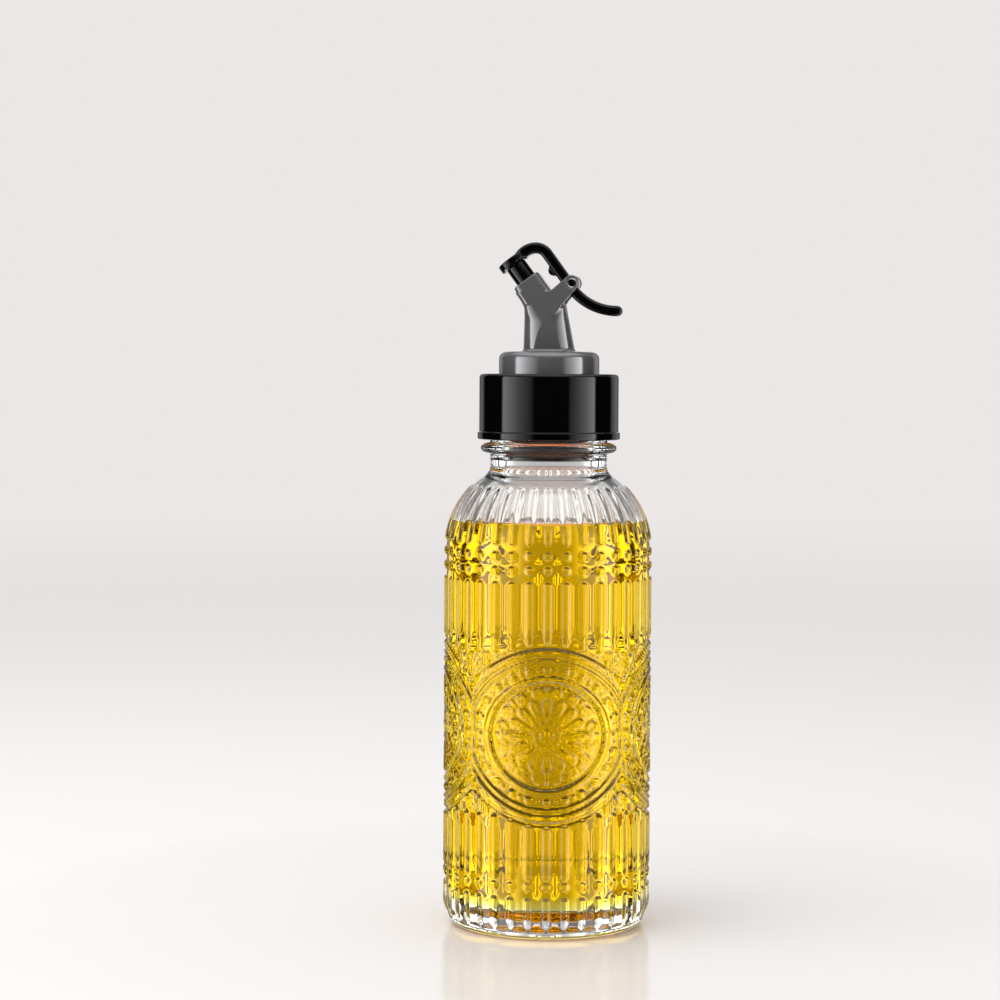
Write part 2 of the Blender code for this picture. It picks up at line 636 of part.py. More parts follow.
def neck_section(share):
    """Ring of points around the pourer's neck at a share of its height: a rounded, off-centre oval."""
    height = COLLAR_TOP - NECK_SINK + (NECK_RISE + NECK_SINK) * share
    flare_share = max(0, share - NECK_FLARE_START_SHARE) / (1 - NECK_FLARE_START_SHARE)
    left = NECK_BASE_HALF_WIDTH + (NECK_TOP_LEFT - NECK_BASE_HALF_WIDTH) * share + NECK_FLARE * flare_share**2
    right = NECK_BASE_HALF_WIDTH + (NECK_TOP_RIGHT - NECK_BASE_HALF_WIDTH) * share
    depth_share = min(1, share / NECK_DEPTH_END_SHARE)
    depth = NECK_BASE_HALF_DEPTH + (ARM_DEPTH / 2 - NECK_BASE_HALF_DEPTH) * depth_share
    power = 2 / (NECK_ROUNDNESS_BASE + (NECK_ROUNDNESS_TOP - NECK_ROUNDNESS_BASE) * share)
    centre = (right - left) / 2
    half_width = (right + left) / 2
    ring = []
    for i in range(NECK_SECTION_POINTS):
        angle = math.tau * i / NECK_SECTION_POINTS
        cosine = math.cos(angle)
        sine = math.sin(angle)
        x = centre + half_width * math.copysign(abs(cosine) ** power, cosine)
        y = depth * math.copysign(abs(sine) ** power, sine)
        ring.append((x, y, height))
    return ring


def pourer_neck():
    """Loft of the neck's sections, from round at the collar to nearly square under the fork."""
    work = bmesh.new()
    rings = []
    for i in range(NECK_SECTIONS + 1):
        rings.append([work.verts.new(point) for point in neck_section(i / NECK_SECTIONS)])
    for lower, upper in zip(rings, rings[1:]):
        for i in range(NECK_SECTION_POINTS):
            j = (i + 1) % NECK_SECTION_POINTS
            work.faces.new((lower[i], lower[j], upper[j], upper[i]))
    work.faces.new(rings[0][::-1])
    work.faces.new(rings[-1])
    mesh = bpy.data.meshes.new("pourer_neck")
    work.to_mesh(mesh)
    work.free()
    return new_object("pourer_neck", mesh, CUTTERS)


def pouring_arm():
    """Rounded block that leans along the nozzle's axis and ends at the mouth."""
    radius = ARM_CORNER_RADIUS
    half_width = ARM_WIDTH / 2 - radius
    half_depth = ARM_DEPTH / 2 - radius
    outline = []
    for i, (x, y) in enumerate([(1, 1), (-1, 1), (-1, -1), (1, -1)]):
        start = i * RIGHT_ANGLE
        corner = (x * half_width, y * half_depth)
        outline += arc(corner, radius, radius, start, start + RIGHT_ANGLE, FILLET_STEPS)
    mesh = bpy.data.meshes.new("pouring_arm")
    work = bmesh.new()
    face = work.faces.new([work.verts.new((x, y, 0)) for x, y in outline])
    pulled = bmesh.ops.extrude_face_region(work, geom=[face])
    moved = [item for item in pulled["geom"] if isinstance(item, bmesh.types.BMVert)]
    bmesh.ops.translate(work, verts=moved, vec=(0, 0, -ARM_LENGTH))
    bmesh.ops.recalc_face_normals(work, faces=work.faces)
    work.to_mesh(mesh)
    work.free()
    obj = new_object("pouring_arm", mesh, CUTTERS)
    bevel = obj.modifiers.new("edge", "BEVEL")
    bevel.width = ARM_EDGE
    bevel.segments = 2
    bevel.limit_method = "ANGLE"
    bevel.angle_limit = BEVEL_ANGLE
    return along_nozzle(obj)


def touch_angle(point, centre, radius, side):
    """Angle on a circle where the line from an outside point touches it; side is 1 or -1."""
    dx = point[0] - centre[0]
    dz = point[1] - centre[1]
    return math.atan2(dz, dx) + side * math.acos(radius / math.hypot(dx, dz))


def clevis_arm():
    """Tapered arm from the neck to the ears' round ends, before the slot is cut."""
    centre = (PIVOT.x, PIVOT.z)
    upper, inner, lower = [(x, FORK_HEIGHT + z) for x, z in (EAR_ROOT_UPPER, EAR_ROOT_INNER, EAR_ROOT_LOWER)]
    start = touch_angle(upper, centre, EAR_RADIUS, -1) % math.tau
    end = touch_angle(lower, centre, EAR_RADIUS, 1) % math.tau - math.tau
    outline = [upper] + arc(centre, EAR_RADIUS, EAR_RADIUS, start, end, EAR_STEPS) + [lower, inner]
    return flat_outline("clevis_arm", outline, ARM_DEPTH, EAR_EDGE, CUTTERS)


def pour_channel():
    """Cutter for the vertical part of the passage: a wide bore in the stem that narrows upwards."""
    wide_top = CLAMP_TOP + STEM_BORE_RISE
    narrow_bottom = wide_top + CHANNEL_CONE_RISE
    bend = MOUTH + NOZZLE_AXIS * (MOUTH.x / math.sin(NOZZLE_TILT))
    profile = [
        (0, bend.z + CHANNEL_RADIUS * CHANNEL_TIP_SHARE),
        (CHANNEL_RADIUS, bend.z),
        (CHANNEL_RADIUS, narrow_bottom),
        (STEM_BORE_RADIUS, wide_top),
        (STEM_BORE_RADIUS, STEM_BOTTOM - CUT_OVERRUN),
        (0, STEM_BOTTOM - CUT_OVERRUN),
    ]
    return turned("pour_channel", profile, CUTTERS, closed=False, steps=SMALL_STEPS)


def pourer_body():
    """Grey moulding: clamp flange, collar, hollow stem, forked neck, nozzle socket and clevis ears."""
    fillet = COLLAR_FILLET
    top = arc((COLLAR_RADIUS - fillet, COLLAR_TOP - fillet), fillet, fillet, RIGHT_ANGLE, 0, COLLAR_STEPS)
    profile = [(0, COLLAR_TOP)] + top
    profile += [
        (COLLAR_RADIUS, CLAMP_TOP),
        (CLAMP_RADIUS, CLAMP_TOP),
        (CLAMP_RADIUS, CLAMP_BOTTOM),
        (STEM_RADIUS, CLAMP_BOTTOM),
        (STEM_RADIUS, STEM_BOTTOM),
        (0, STEM_BOTTOM),
    ]
    body = turned("pourer_body", profile, PARTS, "grey_abs", closed=False)
    join(body, pourer_neck(), "UNION")
    join(body, pouring_arm(), "UNION")
    join(body, clevis_arm(), "UNION")
    slot = cylinder("clevis_slot", SLOT_RADIUS, LEVER_WIDTH + 2 * SLIDE_GAP, CUTTERS)
    centre_cylinder(slot)
    join(body, across(slot, PIVOT), "DIFFERENCE")
    join(body, pour_channel(), "DIFFERENCE")
    bend_distance = -MOUTH.x / math.sin(NOZZLE_TILT)
    spout = cylinder("spout_channel", CHANNEL_RADIUS, bend_distance, CUTTERS, base=-bend_distance)
    join(body, along_nozzle(spout), "DIFFERENCE")
    socket_depth = NOZZLE_SOCKET_DEPTH + SEAT_GAP
    socket = cylinder(
        "nozzle_socket",
        NOZZLE_RADIUS + SEAT_GAP,
        socket_depth + CUT_OVERRUN,
        CUTTERS,
        base=-socket_depth,
    )
    join(body, along_nozzle(socket), "DIFFERENCE")
    eye = cylinder("ear_eye", PIN_RADIUS + SLIDE_GAP, ARM_DEPTH + 2 * CUT_OVERRUN, CUTTERS)
    centre_cylinder(eye)
    join(body, across(eye, PIVOT), "DIFFERENCE")
    for side, name in ((-1, "front"), (1, "back")):
        length = PIN_EYE_DEPTH + CUT_OVERRUN
        sink = cylinder("eye_sink_" + name, PIN_EYE_RADIUS, length, CUTTERS)
        centre_cylinder(sink)
        offset = side * (ARM_DEPTH / 2 - PIN_EYE_DEPTH + length / 2)
        join(body, across(sink, PIVOT + Vector((0, offset, 0))), "DIFFERENCE")
    return body


def centre_cylinder(obj):
    """Moves a cylinder's mesh so that its middle is at its origin."""
    low = min(vertex.co.z for vertex in obj.data.vertices)
    high = max(vertex.co.z for vertex in obj.data.vertices)
    for vertex in obj.data.vertices:
        vertex.co.z -= (low + high) / 2


def nozzle_tip():
    """Black spout pressed into the mouth, open along its axis."""
    outer = NOZZLE_RADIUS
    lip = NOZZLE_LIP
    bore = CHANNEL_RADIUS
    profile = [
        (bore, NOZZLE_REACH),
        (outer - lip, NOZZLE_REACH),
        (outer, NOZZLE_REACH - lip),
        (outer, -NOZZLE_SOCKET_DEPTH),
        (bore, -NOZZLE_SOCKET_DEPTH),
    ]
    return along_nozzle(turned("nozzle_tip", profile, PARTS, "black_abs", steps=SMALL_STEPS))


def pivot_pin():
    """Pin through both ears and the lever's hub."""
    length = ARM_DEPTH - 2 * PIN_RECESS
    pin = cylinder("pivot_pin", PIN_RADIUS, length, PARTS, "black_abs", steps=PIN_STEPS)
    centre_cylinder(pin)
    return across(pin, PIVOT)


def lever_path():
    """Lever's middle line in the XZ plane, and the arm's slope.

    The arch starts at the stopper cap and bends over to an elbow. The straight arm is the line that leaves
    the arch's right arc and passes the pivot at its offset. The tail turns from a knee to level.
    """
    cap_face = MOUTH + NOZZLE_AXIS * (STOPPER_CAP_START + STOPPER_CAP_THICKNESS)
    top = (cap_face.x + ARCH_TOP_AHEAD, cap_face.z + ARCH_TOP_ABOVE)
    left_centre = (top[0], top[1] - ARCH_LEFT_RADIUS)
    right_centre = (top[0], top[1] - ARCH_RIGHT_RADIUS)
    reach = (PIVOT.x - right_centre[0], PIVOT.z - right_centre[1])
    across_arm = math.acos((ARCH_RIGHT_RADIUS + PIVOT_OFFSET) / math.hypot(*reach))
    elbow_angle = math.atan2(reach[1], reach[0]) + across_arm
    slope = RIGHT_ANGLE - elbow_angle
    turn = RIGHT_ANGLE + ARCH_LEFT_TURN
    left = arc(left_centre, ARCH_LEFT_RADIUS, ARCH_LEFT_RADIUS, turn, RIGHT_ANGLE, ARCH_STEPS)
    right = arc(right_centre, ARCH_RIGHT_RADIUS, ARCH_RIGHT_RADIUS, RIGHT_ANGLE, elbow_angle, ARCH_STEPS)
    elbow = Vector((right[-1][0], 0, right[-1][1]))
    along = Vector((math.cos(slope), 0, -math.sin(slope)))
    knee = elbow + along * ((PIVOT - elbow).dot(along) + LEVER_BELOW_PIVOT)
    tail_centre = (knee.x + TAIL_RADIUS * math.sin(slope), knee.z + TAIL_RADIUS * math.cos(slope))
    tail = arc(tail_centre, TAIL_RADIUS, TAIL_RADIUS, -RIGHT_ANGLE - slope, -RIGHT_ANGLE, TAIL_STEPS)
    return left + right[1:], tail, slope


def offset_outline(line):
    """Closed outline on both sides of a middle line, with a round end at its last point."""
    upper = []
    lower = []
    last = len(line) - 1
    for i, (x, z) in enumerate(line):
        before = line[max(0, i - 1)]
        after = line[min(last, i + 1)]
        dx = after[0] - before[0]
        dz = after[1] - before[1]
        length = math.hypot(dx, dz)
        half = (LEVER_THICKNESS + (LEVER_TIP_THICKNESS - LEVER_THICKNESS) * i / last) / 2
        upper.append((x - half * dz / length, z + half * dx / length))
        lower.append((x + half * dz / length, z - half * dx / length))
    radius = LEVER_TIP_THICKNESS / 2
    end = arc(line[-1], radius, radius, RIGHT_ANGLE, -RIGHT_ANGLE, TIP_STEPS)
    return upper[:-1] + end + lower[:-1][::-1]


def pour_lever():
    """Lever with its hub, the nub under its arm and the hooked cap that closes the nozzle."""
    arch, tail, slope = lever_path()
    outline = offset_outline(arch + tail)
    lever = flat_outline("pour_lever", outline, LEVER_WIDTH, LEVER_EDGE, PARTS, "black_abs")
    hub = cylinder("lever_hub", LEVER_HUB_RADIUS, LEVER_WIDTH, CUTTERS)
    centre_cylinder(hub)
    join(lever, across(hub, PIVOT), "UNION")
    start = Vector((arch[-1][0], 0, arch[-1][1]))
    end = Vector((tail[0][0], 0, tail[0][1]))
    inward = Vector((-math.sin(slope), 0, -math.cos(slope)))
    nub_centre = start.lerp(end, NUB_ALONG_SHARE) + inward * (LEVER_THICKNESS / 2 - NUB_SINK)
    nub = cylinder("lever_nub", NUB_RADIUS, LEVER_WIDTH - 2 * LEVER_EDGE, CUTTERS)
    centre_cylinder(nub)
    join(lever, across(nub, nub_centre), "UNION")
    clearance = STOPPER_CAP_RADIUS + SLIDE_GAP
    nozzle_room = cylinder("nozzle_room", clearance, STOPPER_CAP_START, CUTTERS)
    join(lever, along_nozzle(nozzle_room), "DIFFERENCE")
    join(lever, stopper_cap(), "UNION")
    eye = cylinder("lever_eye", PIN_RADIUS + SLIDE_GAP, LEVER_WIDTH + 2 * CUT_OVERRUN, CUTTERS)
    centre_cylinder(eye)
    join(lever, across(eye, PIVOT), "DIFFERENCE")
    recess = cylinder(
        "pad_recess",
        SEAL_PAD_RADIUS + SEAT_GAP,
        SEAL_PAD_THICKNESS + SEAT_GAP + CUT_OVERRUN,
        CUTTERS,
        base=STOPPER_CAP_START - CUT_OVERRUN,
    )
    join(lever, along_nozzle(recess), "DIFFERENCE")
    return lever


def stopper_cap():
    """Cap over the nozzle with a hooked lip, hollowed on a circle about the pivot so that it swings clear."""
    across_axis = Vector((math.cos(NOZZLE_TILT), 0, math.sin(NOZZLE_TILT)))
    corner = MOUTH + NOZZLE_AXIS * NOZZLE_REACH - across_axis * NOZZLE_RADIUS
    swing = (corner - PIVOT).length + SLIDE_GAP
    bottom = STOPPER_CAP_START - LIP_DEPTH
    cap = cylinder("stopper_cap", STOPPER_CAP_RADIUS, STOPPER_CAP_THICKNESS + LIP_DEPTH, CUTTERS, base=bottom)
    width = STOPPER_CAP_RADIUS + CUT_OVERRUN
    hollow = cylinder("lip_hollow", width, LIP_DEPTH + CUT_OVERRUN, CUTTERS, base=bottom - CUT_OVERRUN)
    along_nozzle(hollow)
    round_pivot = cylinder("pivot_circle", swing, 2 * (width + CUT_OVERRUN), CUTTERS, steps=SWING_STEPS)
    centre_cylinder(round_pivot)
    join(hollow, across(round_pivot, PIVOT), "INTERSECT")
    join(cap, hollow, "DIFFERENCE")
    return along_nozzle(cap)


def lever_seal_pad():
    """Soft disc under the stopper cap that closes the nozzle."""
    pad = cylinder(
        "lever_seal_pad",
        SEAL_PAD_RADIUS,
        SEAL_PAD_THICKNESS,
        PARTS,
        "black_silicone",
        base=STOPPER_CAP_START,
    )
    return along_nozzle(pad)


def hang_on(obj, empty):
    """Parents an object to an empty without moving it."""
    bpy.context.view_layer.update()
    obj.parent = empty
    obj.matrix_parent_inverse = empty.matrix_world.inverted()


def axis_empty(name, location):
    """Empty that marks a joint's axis."""
    empty = bpy.data.objects.new(name, None)
    empty.empty_display_size = EAR_RADIUS
    empty.location = location
    PARTS.objects.link(empty)
    return empty


def main():
    """Builds every piece and hangs the moving ones on their axes."""
    glass_bottle()
    closure = axis_empty("closure_axis", (0, 0, BOTTLE_HEIGHT))
    pivot = axis_empty("lever_axis", PIVOT)
    for piece in (rim_gasket(), screw_cap(), neck_stopper(), pourer_body(), nozzle_tip(), pivot_pin()):
        hang_on(piece, closure)
    hang_on(pivot, closure)
    for piece in (pour_lever(), lever_seal_pad()):
        hang_on(piece, pivot)


for old in list(bpy.data.objects):
    bpy.data.objects.remove(old)
PARTS = bpy.data.collections.new("lever_pour_oil_bottle")
CUTTERS = bpy.data.collections.new("cutters")
bpy.context.scene.collection.children.link(PARTS)
bpy.context.scene.collection.children.link(CUTTERS)
main()
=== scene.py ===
"""Looks of the lever-pour oil bottle: pressed glass, oil, glossy black cap, grey pourer and black lever.

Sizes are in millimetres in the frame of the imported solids, and new_piece turns them to metres. The pourer
lies in the XZ plane: its nozzle leans towards -X and the lever's tail reaches towards +X.
"""

import json
import logging
import math
from dataclasses import dataclass, field
from enum import Enum
from typing import Any, Callable, Iterable

import bpy
import numpy as np
from mathutils import Euler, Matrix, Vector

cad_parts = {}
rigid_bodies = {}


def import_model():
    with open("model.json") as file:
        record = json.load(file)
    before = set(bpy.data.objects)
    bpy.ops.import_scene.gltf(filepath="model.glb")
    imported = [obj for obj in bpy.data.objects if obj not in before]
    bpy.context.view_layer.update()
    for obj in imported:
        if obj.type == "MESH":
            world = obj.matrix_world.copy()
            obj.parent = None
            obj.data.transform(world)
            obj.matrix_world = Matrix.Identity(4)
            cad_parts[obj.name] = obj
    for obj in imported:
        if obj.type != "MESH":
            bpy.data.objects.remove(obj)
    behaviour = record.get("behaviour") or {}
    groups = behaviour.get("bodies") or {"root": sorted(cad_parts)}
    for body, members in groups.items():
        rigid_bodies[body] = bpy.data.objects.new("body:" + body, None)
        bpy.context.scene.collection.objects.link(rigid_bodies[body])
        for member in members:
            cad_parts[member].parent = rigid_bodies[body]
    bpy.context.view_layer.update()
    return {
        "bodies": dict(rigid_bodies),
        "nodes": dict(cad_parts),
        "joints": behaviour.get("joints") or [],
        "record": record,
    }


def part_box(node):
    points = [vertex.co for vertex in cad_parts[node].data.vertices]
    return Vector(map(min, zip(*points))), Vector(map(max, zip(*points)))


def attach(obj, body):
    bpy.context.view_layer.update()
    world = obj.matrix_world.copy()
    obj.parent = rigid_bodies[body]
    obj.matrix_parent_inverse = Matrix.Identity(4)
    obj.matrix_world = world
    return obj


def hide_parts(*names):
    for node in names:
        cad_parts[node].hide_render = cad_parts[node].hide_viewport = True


MM = 0.001
TAU = math.tau
RIGHT_ANGLE = math.pi / 2
TURN_STEPS = 192
SMALL_TURN_STEPS = 96
PIN_TURN_STEPS = 48
SEAT_GAP = 0.3
SLIDE_GAP = 0.3
WHITE = (1.0, 1.0, 1.0, 1.0)

log = logging.getLogger("oil_bottle")

Array = np.ndarray
Field = Callable[[Array], Array]
Levels = list[tuple[float, float]]
Corners = list[tuple[float, float, float]]
Material = bpy.types.Material
Node = bpy.types.Node
Object = bpy.types.Object
Socket = bpy.types.NodeSocket


class Body(Enum):
    """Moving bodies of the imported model."""

    BOTTLE = "bottle"
    POURER = "pourer"
    CAP = "cap"
    LEVER = "lever"


class Slot(Enum):
    """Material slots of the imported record."""

    GLASS = "clear_glass"
    BLACK_PLASTIC = "black_plastic"
    GREY_PLASTIC = "grey_plastic"
    BLACK_SILICONE = "black_silicone"
    WHITE_SILICONE = "white_silicone"


# Colour and nodes


def linear(hex_colour: str) -> tuple[float, float, float, float]:
    """Turns an sRGB hex colour to linear RGBA.

    Args:
        hex_colour: Six hex digits after a hash mark.

    Returns:
        Red, green, blue and an alpha of 1.
    """
    shares = [int(hex_colour[i : i + 2], 16) / 255 for i in (1, 3, 5)]
    red, green, blue = [s / 12.92 if s <= 0.04045 else ((s + 0.055) / 1.055) ** 2.4 for s in shares]
    return red, green, blue, 1.0


class Nodes:
    """Node tree of a material or a world, with short ways to add nodes."""

    def __init__(self, owner: Material | bpy.types.World) -> None:
        """Takes the owner's tree."""
        owner.use_nodes = True
        self.tree = owner.node_tree

    def add(self, kind: str, inputs: dict | None = None, **settings: Any) -> Node:
        """Adds one node.

        Args:
            kind: Blender's name of the node's type, after its first word ShaderNode.
            inputs: Output socket or value for each input, by its name or number.
            **settings: Attributes of the node.

        Returns:
            The node.
        """
        node = self.tree.nodes.new("ShaderNode" + kind)
        for name, value in settings.items():
            setattr(node, name, value)
        return self.fill(node, inputs or {})

    def fill(self, node: Node, inputs: dict) -> Node:
        """Links or sets the inputs of a node.

        Args:
            node: Node of this tree.
            inputs: Output socket or value for each input, by its name or number.

        Returns:
            The node.
        """
        for name, value in inputs.items():
            if isinstance(value, Socket):
                self.tree.links.new(value, node.inputs[name])
            else:
                node.inputs[name].default_value = value
        return node

    def principled(self, inputs: dict) -> Node:
        """Fills the inputs of the shader that a new material has."""
        return self.fill(self.tree.nodes["Principled BSDF"], inputs)

    def noise(self, size: float, detail: float) -> Socket:
        """Noise in the object's own space, with a feature size in millimetres."""
        place = self.add("TexCoord").outputs["Object"]
        inputs = {"Vector": place, "Scale": 1 / (size * MM), "Detail": detail}
        return self.add("TexNoise", inputs).outputs["Fac"]

    def bump(self, height: Socket, rise: float) -> Socket:
        """Normal of a relief that rises by some millimetres where the height is 1."""
        inputs = {"Height": height, "Distance": rise * MM, "Strength": 1.0}
        return self.add("Bump", inputs).outputs["Normal"]

    def span(self, value: Socket, start: float, end: float, low: float, high: float, kind: str) -> Socket:
        """Carries the range from start to end over to the range from low to high, by a kind of blend."""
        inputs = {"Value": value, "From Min": start, "From Max": end, "To Min": low, "To Max": high}
        return self.add("MapRange", inputs, interpolation_type=kind).outputs["Result"]

    def ramp(self, place: Socket, levels: Levels) -> Socket:
        """Adds a grey ramp.

        Args:
            place: Share from 0 to 1.
            levels: Place and grey level of each stop, in order.

        Returns:
            Colour at the place.
        """
        node = self.add("ValToRGB", {"Fac": place})
        stops = node.color_ramp.elements
        while len(stops) < len(levels):
            stops.new(1.0)
        for stop, (spot, level) in zip(stops, levels):
            stop.position = spot
            stop.color = (level, level, level, 1.0)
        return node.outputs["Color"]

    def background(self, colour: tuple | Socket, strength: float) -> Socket:
        """Light that comes from all round."""
        return self.add("Background", {"Color": colour, "Strength": strength}).outputs[0]


# Finishes


@dataclass(frozen=True)
class Finish:
    """Material whose nodes are laid by the kind of finish."""

    name: str

    def build(self) -> Material:
        """Makes the material."""
        material = bpy.data.materials.new(self.name)
        self.lay(Nodes(material))
        return material

    def lay(self, nodes: Nodes) -> None:
        """Leaves the plain shader as it is."""


@dataclass(frozen=True)
class MouldedPlastic(Finish):
    """ABS moulded in a polished tool: a clean gloss over a faint orange peel, with fine handling marks.

    A metallic share above 0 stands for the fine aluminium flake of metal-grey ABS.
    """

    colour: str
    worn_colour: str
    roughness: float
    metallic: float = 0.0
    peel_mm: float = 5.0
    peel_height: float = 0.006
    mark_mm: float = 1.6

    def lay(self, nodes: Nodes) -> None:
        """Lays marks that change the tint and the gloss, and the peel as a bump."""
        marks = nodes.noise(self.mark_mm, 4.0)
        tints = {"Factor": marks, "A": linear(self.colour), "B": linear(self.worn_colour)}
        smooth, dull = self.roughness * 0.85, self.roughness * 1.35
        nodes.principled({
            "Base Color": nodes.add("Mix", tints, data_type="RGBA").outputs[2],
            "Roughness": nodes.span(marks, 0.3, 0.75, smooth, dull, "LINEAR"),
            "Normal": nodes.bump(nodes.noise(self.peel_mm, 1.0), self.peel_height),
            "Metallic": self.metallic,
            "IOR": 1.5,
        })


@dataclass(frozen=True)
class Silicone(Finish):
    """Moulded silicone: a soft, nearly matt skin with a fine tooled grain."""

    colour: str
    roughness: float = 0.55
    grain_mm: float = 0.6
    grain_height: float = 0.01

    def lay(self, nodes: Nodes) -> None:
        """Lays the grain as a bump."""
        nodes.principled({
            "Base Color": linear(self.colour),
            "Roughness": self.roughness,
            "IOR": 1.41,
            "Normal": nodes.bump(nodes.noise(self.grain_mm, 2.0), self.grain_height),
        })


@dataclass(frozen=True)
class PressedGlass(Finish):
    """Pressed soda-lime glass: clear, fire-polished, with the slow waves that the plunger leaves."""

    wave_mm: float = 9.0
    wave_height: float = 0.02

    def lay(self, nodes: Nodes) -> None:
        """Lays the waves as a bump."""
        nodes.principled({
            "Base Color": linear("#FCFDFC"),
            "Roughness": 0.0,
            "IOR": 1.5,
            "Transmission Weight": 1.0,
            "Normal": nodes.bump(nodes.noise(self.wave_mm, 1.0), self.wave_height),
        })


@dataclass(frozen=True)
class WetWall(Finish):
    """Glass wall where oil lies against it: their refraction is so alike that the join can't be seen."""

    def lay(self, nodes: Nodes) -> None:
        """Lays a clear surface alone."""
        nodes.tree.nodes.clear()
        clear = nodes.add("BsdfTransparent", {"Color": WHITE})
        nodes.add("OutputMaterial", {"Surface": clear.outputs["BSDF"]})


@dataclass(frozen=True)
class CookingOil(Finish):
    """Refined cooking oil: clear, golden, deeper in colour where the light crosses more of it."""

    free_surface: bool
    colour: str = "#FDF100"
    density: float = 90.0
    ior: float = 1.47

    def lay(self, nodes: Nodes) -> None:
        """Lays the absorbing volume in a skin that refracts against air and is clear against glass."""
        nodes.tree.nodes.clear()
        depth = nodes.add("VolumeAbsorption", {"Color": linear(self.colour), "Density": self.density})
        if self.free_surface:
            skin = nodes.add("BsdfGlass", {"Color": WHITE, "Roughness": 0.0, "IOR": self.ior})
        else:
            skin = nodes.add("BsdfTransparent", {"Color": WHITE})
        nodes.add("OutputMaterial", {"Surface": skin.outputs["BSDF"], "Volume": depth.outputs["Volume"]})


# Mesh making


def new_piece(
    name: str, points: Array, faces: list[Array], materials: list[Material], slots: list[int] | None = None
) -> Object:
    """Makes an object from millimetre points and arrays of faces.

    Args:
        name: Piece name.
        points: (n, 3) array in millimetres.
        faces: Arrays of faces, each with three or four corners a row.
        materials: Materials of the piece.
        slots: Material number of each array of faces, 0 where it isn't given.

    Returns:
        The object, at the origin.
    """
    mesh = bpy.data.meshes.new(name)
    mesh.vertices.add(len(points))
    mesh.vertices.foreach_set("co", (points * MM).astype(np.float32).ravel())
    corners = np.concatenate([f.ravel() for f in faces]).astype(np.int32)
    sizes = np.concatenate([np.full(len(f), f.shape[1]) for f in faces])
    mesh.loops.add(len(corners))
    mesh.loops.foreach_set("vertex_index", corners)
    mesh.polygons.add(len(sizes))
    starts = np.concatenate([[0], np.cumsum(sizes)[:-1]]).astype(np.int32)
    mesh.polygons.foreach_set("loop_start", starts)
    mesh.polygons.foreach_set("use_smooth", np.ones(len(sizes), bool))
    for material in materials:
        mesh.materials.append(material)
    if slots:
        numbers = np.concatenate([np.full(len(f), s) for f, s in zip(faces, slots)]).astype(np.int32)
        mesh.polygons.foreach_set("material_index", numbers)
    mesh.update(calc_edges=True)
    mesh.validate()
    piece = bpy.data.objects.new(name, mesh)
    bpy.context.scene.collection.objects.link(piece)
    return piece


def circle(radius: float | Array, height: float, angles: Array) -> Array:
    """Ring of points: x = r cos a, y = r sin a, z = h, for each angle a."""
    return np.stack([radius * np.cos(angles), radius * np.sin(angles), np.full(len(angles), height)], axis=1)


def arc(middle: tuple | Array, radius: float, start: float, end: float, count: int) -> Array:
    """Points on a circle in a plane: the middle plus (r cos a, r sin a), for angles a from start to end."""
    angle = np.linspace(start, end, count)
    return np.asarray(middle) + radius * np.stack([np.cos(angle), np.sin(angle)], axis=1)


class RingShell:
    """Closed surface laid over a stack of rings round Z, whose point counts may change by a whole factor.

    Rings run inside-up and outside-down, so that every band faces out of the material.
    """

    def __init__(self, steps: int = TURN_STEPS) -> None:
        """Starts with no rings."""
        self.angles = np.arange(steps) * TAU / steps
        self.rings: list[Array] = []
        self.points: list[Array] = []
        self.faces: list[Array] = []
        self.slots: list[int] = []
        self.count = 0

    def add(self, ring: Array, slot: int = 0) -> None:
        """Adds a ring, or a pole where it has one point, and the band that joins it to the ring before.

        Args:
            ring: (n, 3) points, evenly stepped round Z from the same angle.
            slot: Material number of the band.
        """
        numbers = np.arange(len(ring)) + self.count
        self.points.append(ring)
        self.count += len(ring)
        if self.rings:
            self._join(self.rings[-1], numbers, slot)
        self.rings.append(numbers)

    def turn(self, radius: float | Array, height: float, slot: int = 0) -> None:
        """Adds a ring of the shell's own steps, or a pole where the radius is 0."""
        on_axis = np.ndim(radius) == 0 and radius <= 0
        self.add(np.array([[0.0, 0.0, height]]) if on_axis else circle(radius, height, self.angles), slot)

    def turn_all(self, profile: Iterable, slot: int = 0) -> None:
        """Adds a ring for each radius and height of a profile."""
        for radius, height in profile:
            self.turn(radius, height, slot)

    def close(self) -> None:
        """Joins the last ring to the first, for a tube that has no poles."""
        self._join(self.rings[-1], self.rings[0], 0)

    def _join(self, first: Array, last: Array, slot: int) -> None:
        """Lays one band: four-sided faces between like rings, and fans where the counts differ.

        Args:
            first: Point numbers of the ring before.
            last: Point numbers of the ring after.
            slot: Material number of the band.
        """
        few, many = (first, last) if len(first) <= len(last) else (last, first)
        factor = len(many) // len(few)
        if factor == 1:
            band = np.stack([first, last, np.roll(last, -1), np.roll(first, -1)], axis=1)
            self._store(band, slot)
            return
        step = np.arange(len(many))
        middle = factor // 2 if len(few) > 1 else 0
        owner = few[((step + middle) // factor) % len(few)]
        flip = -1 if few is last else 1
        self._store(np.stack([owner, many, np.roll(many, -1)], axis=1)[:, ::flip], slot)
        if len(few) > 1:
            shared = many[(np.arange(len(few)) * factor + factor - middle) % len(many)]
            self._store(np.stack([few, shared, np.roll(few, -1)], axis=1)[:, ::flip], slot)

    def _store(self, faces: Array, slot: int) -> None:
        """Keeps an array of faces and its material number."""
        self.faces.append(faces)
        self.slots.append(slot)

    def piece(self, name: str, materials: list[Material], sharp: float | None = None) -> Object:
        """Makes the object, with hard edges where its faces meet at more than a sharp angle in degrees."""
        piece = new_piece(name, np.concatenate(self.points), self.faces, materials, self.slots)
        if sharp:
            piece.data.set_sharp_from_angle(angle=math.radians(sharp))
        return piece


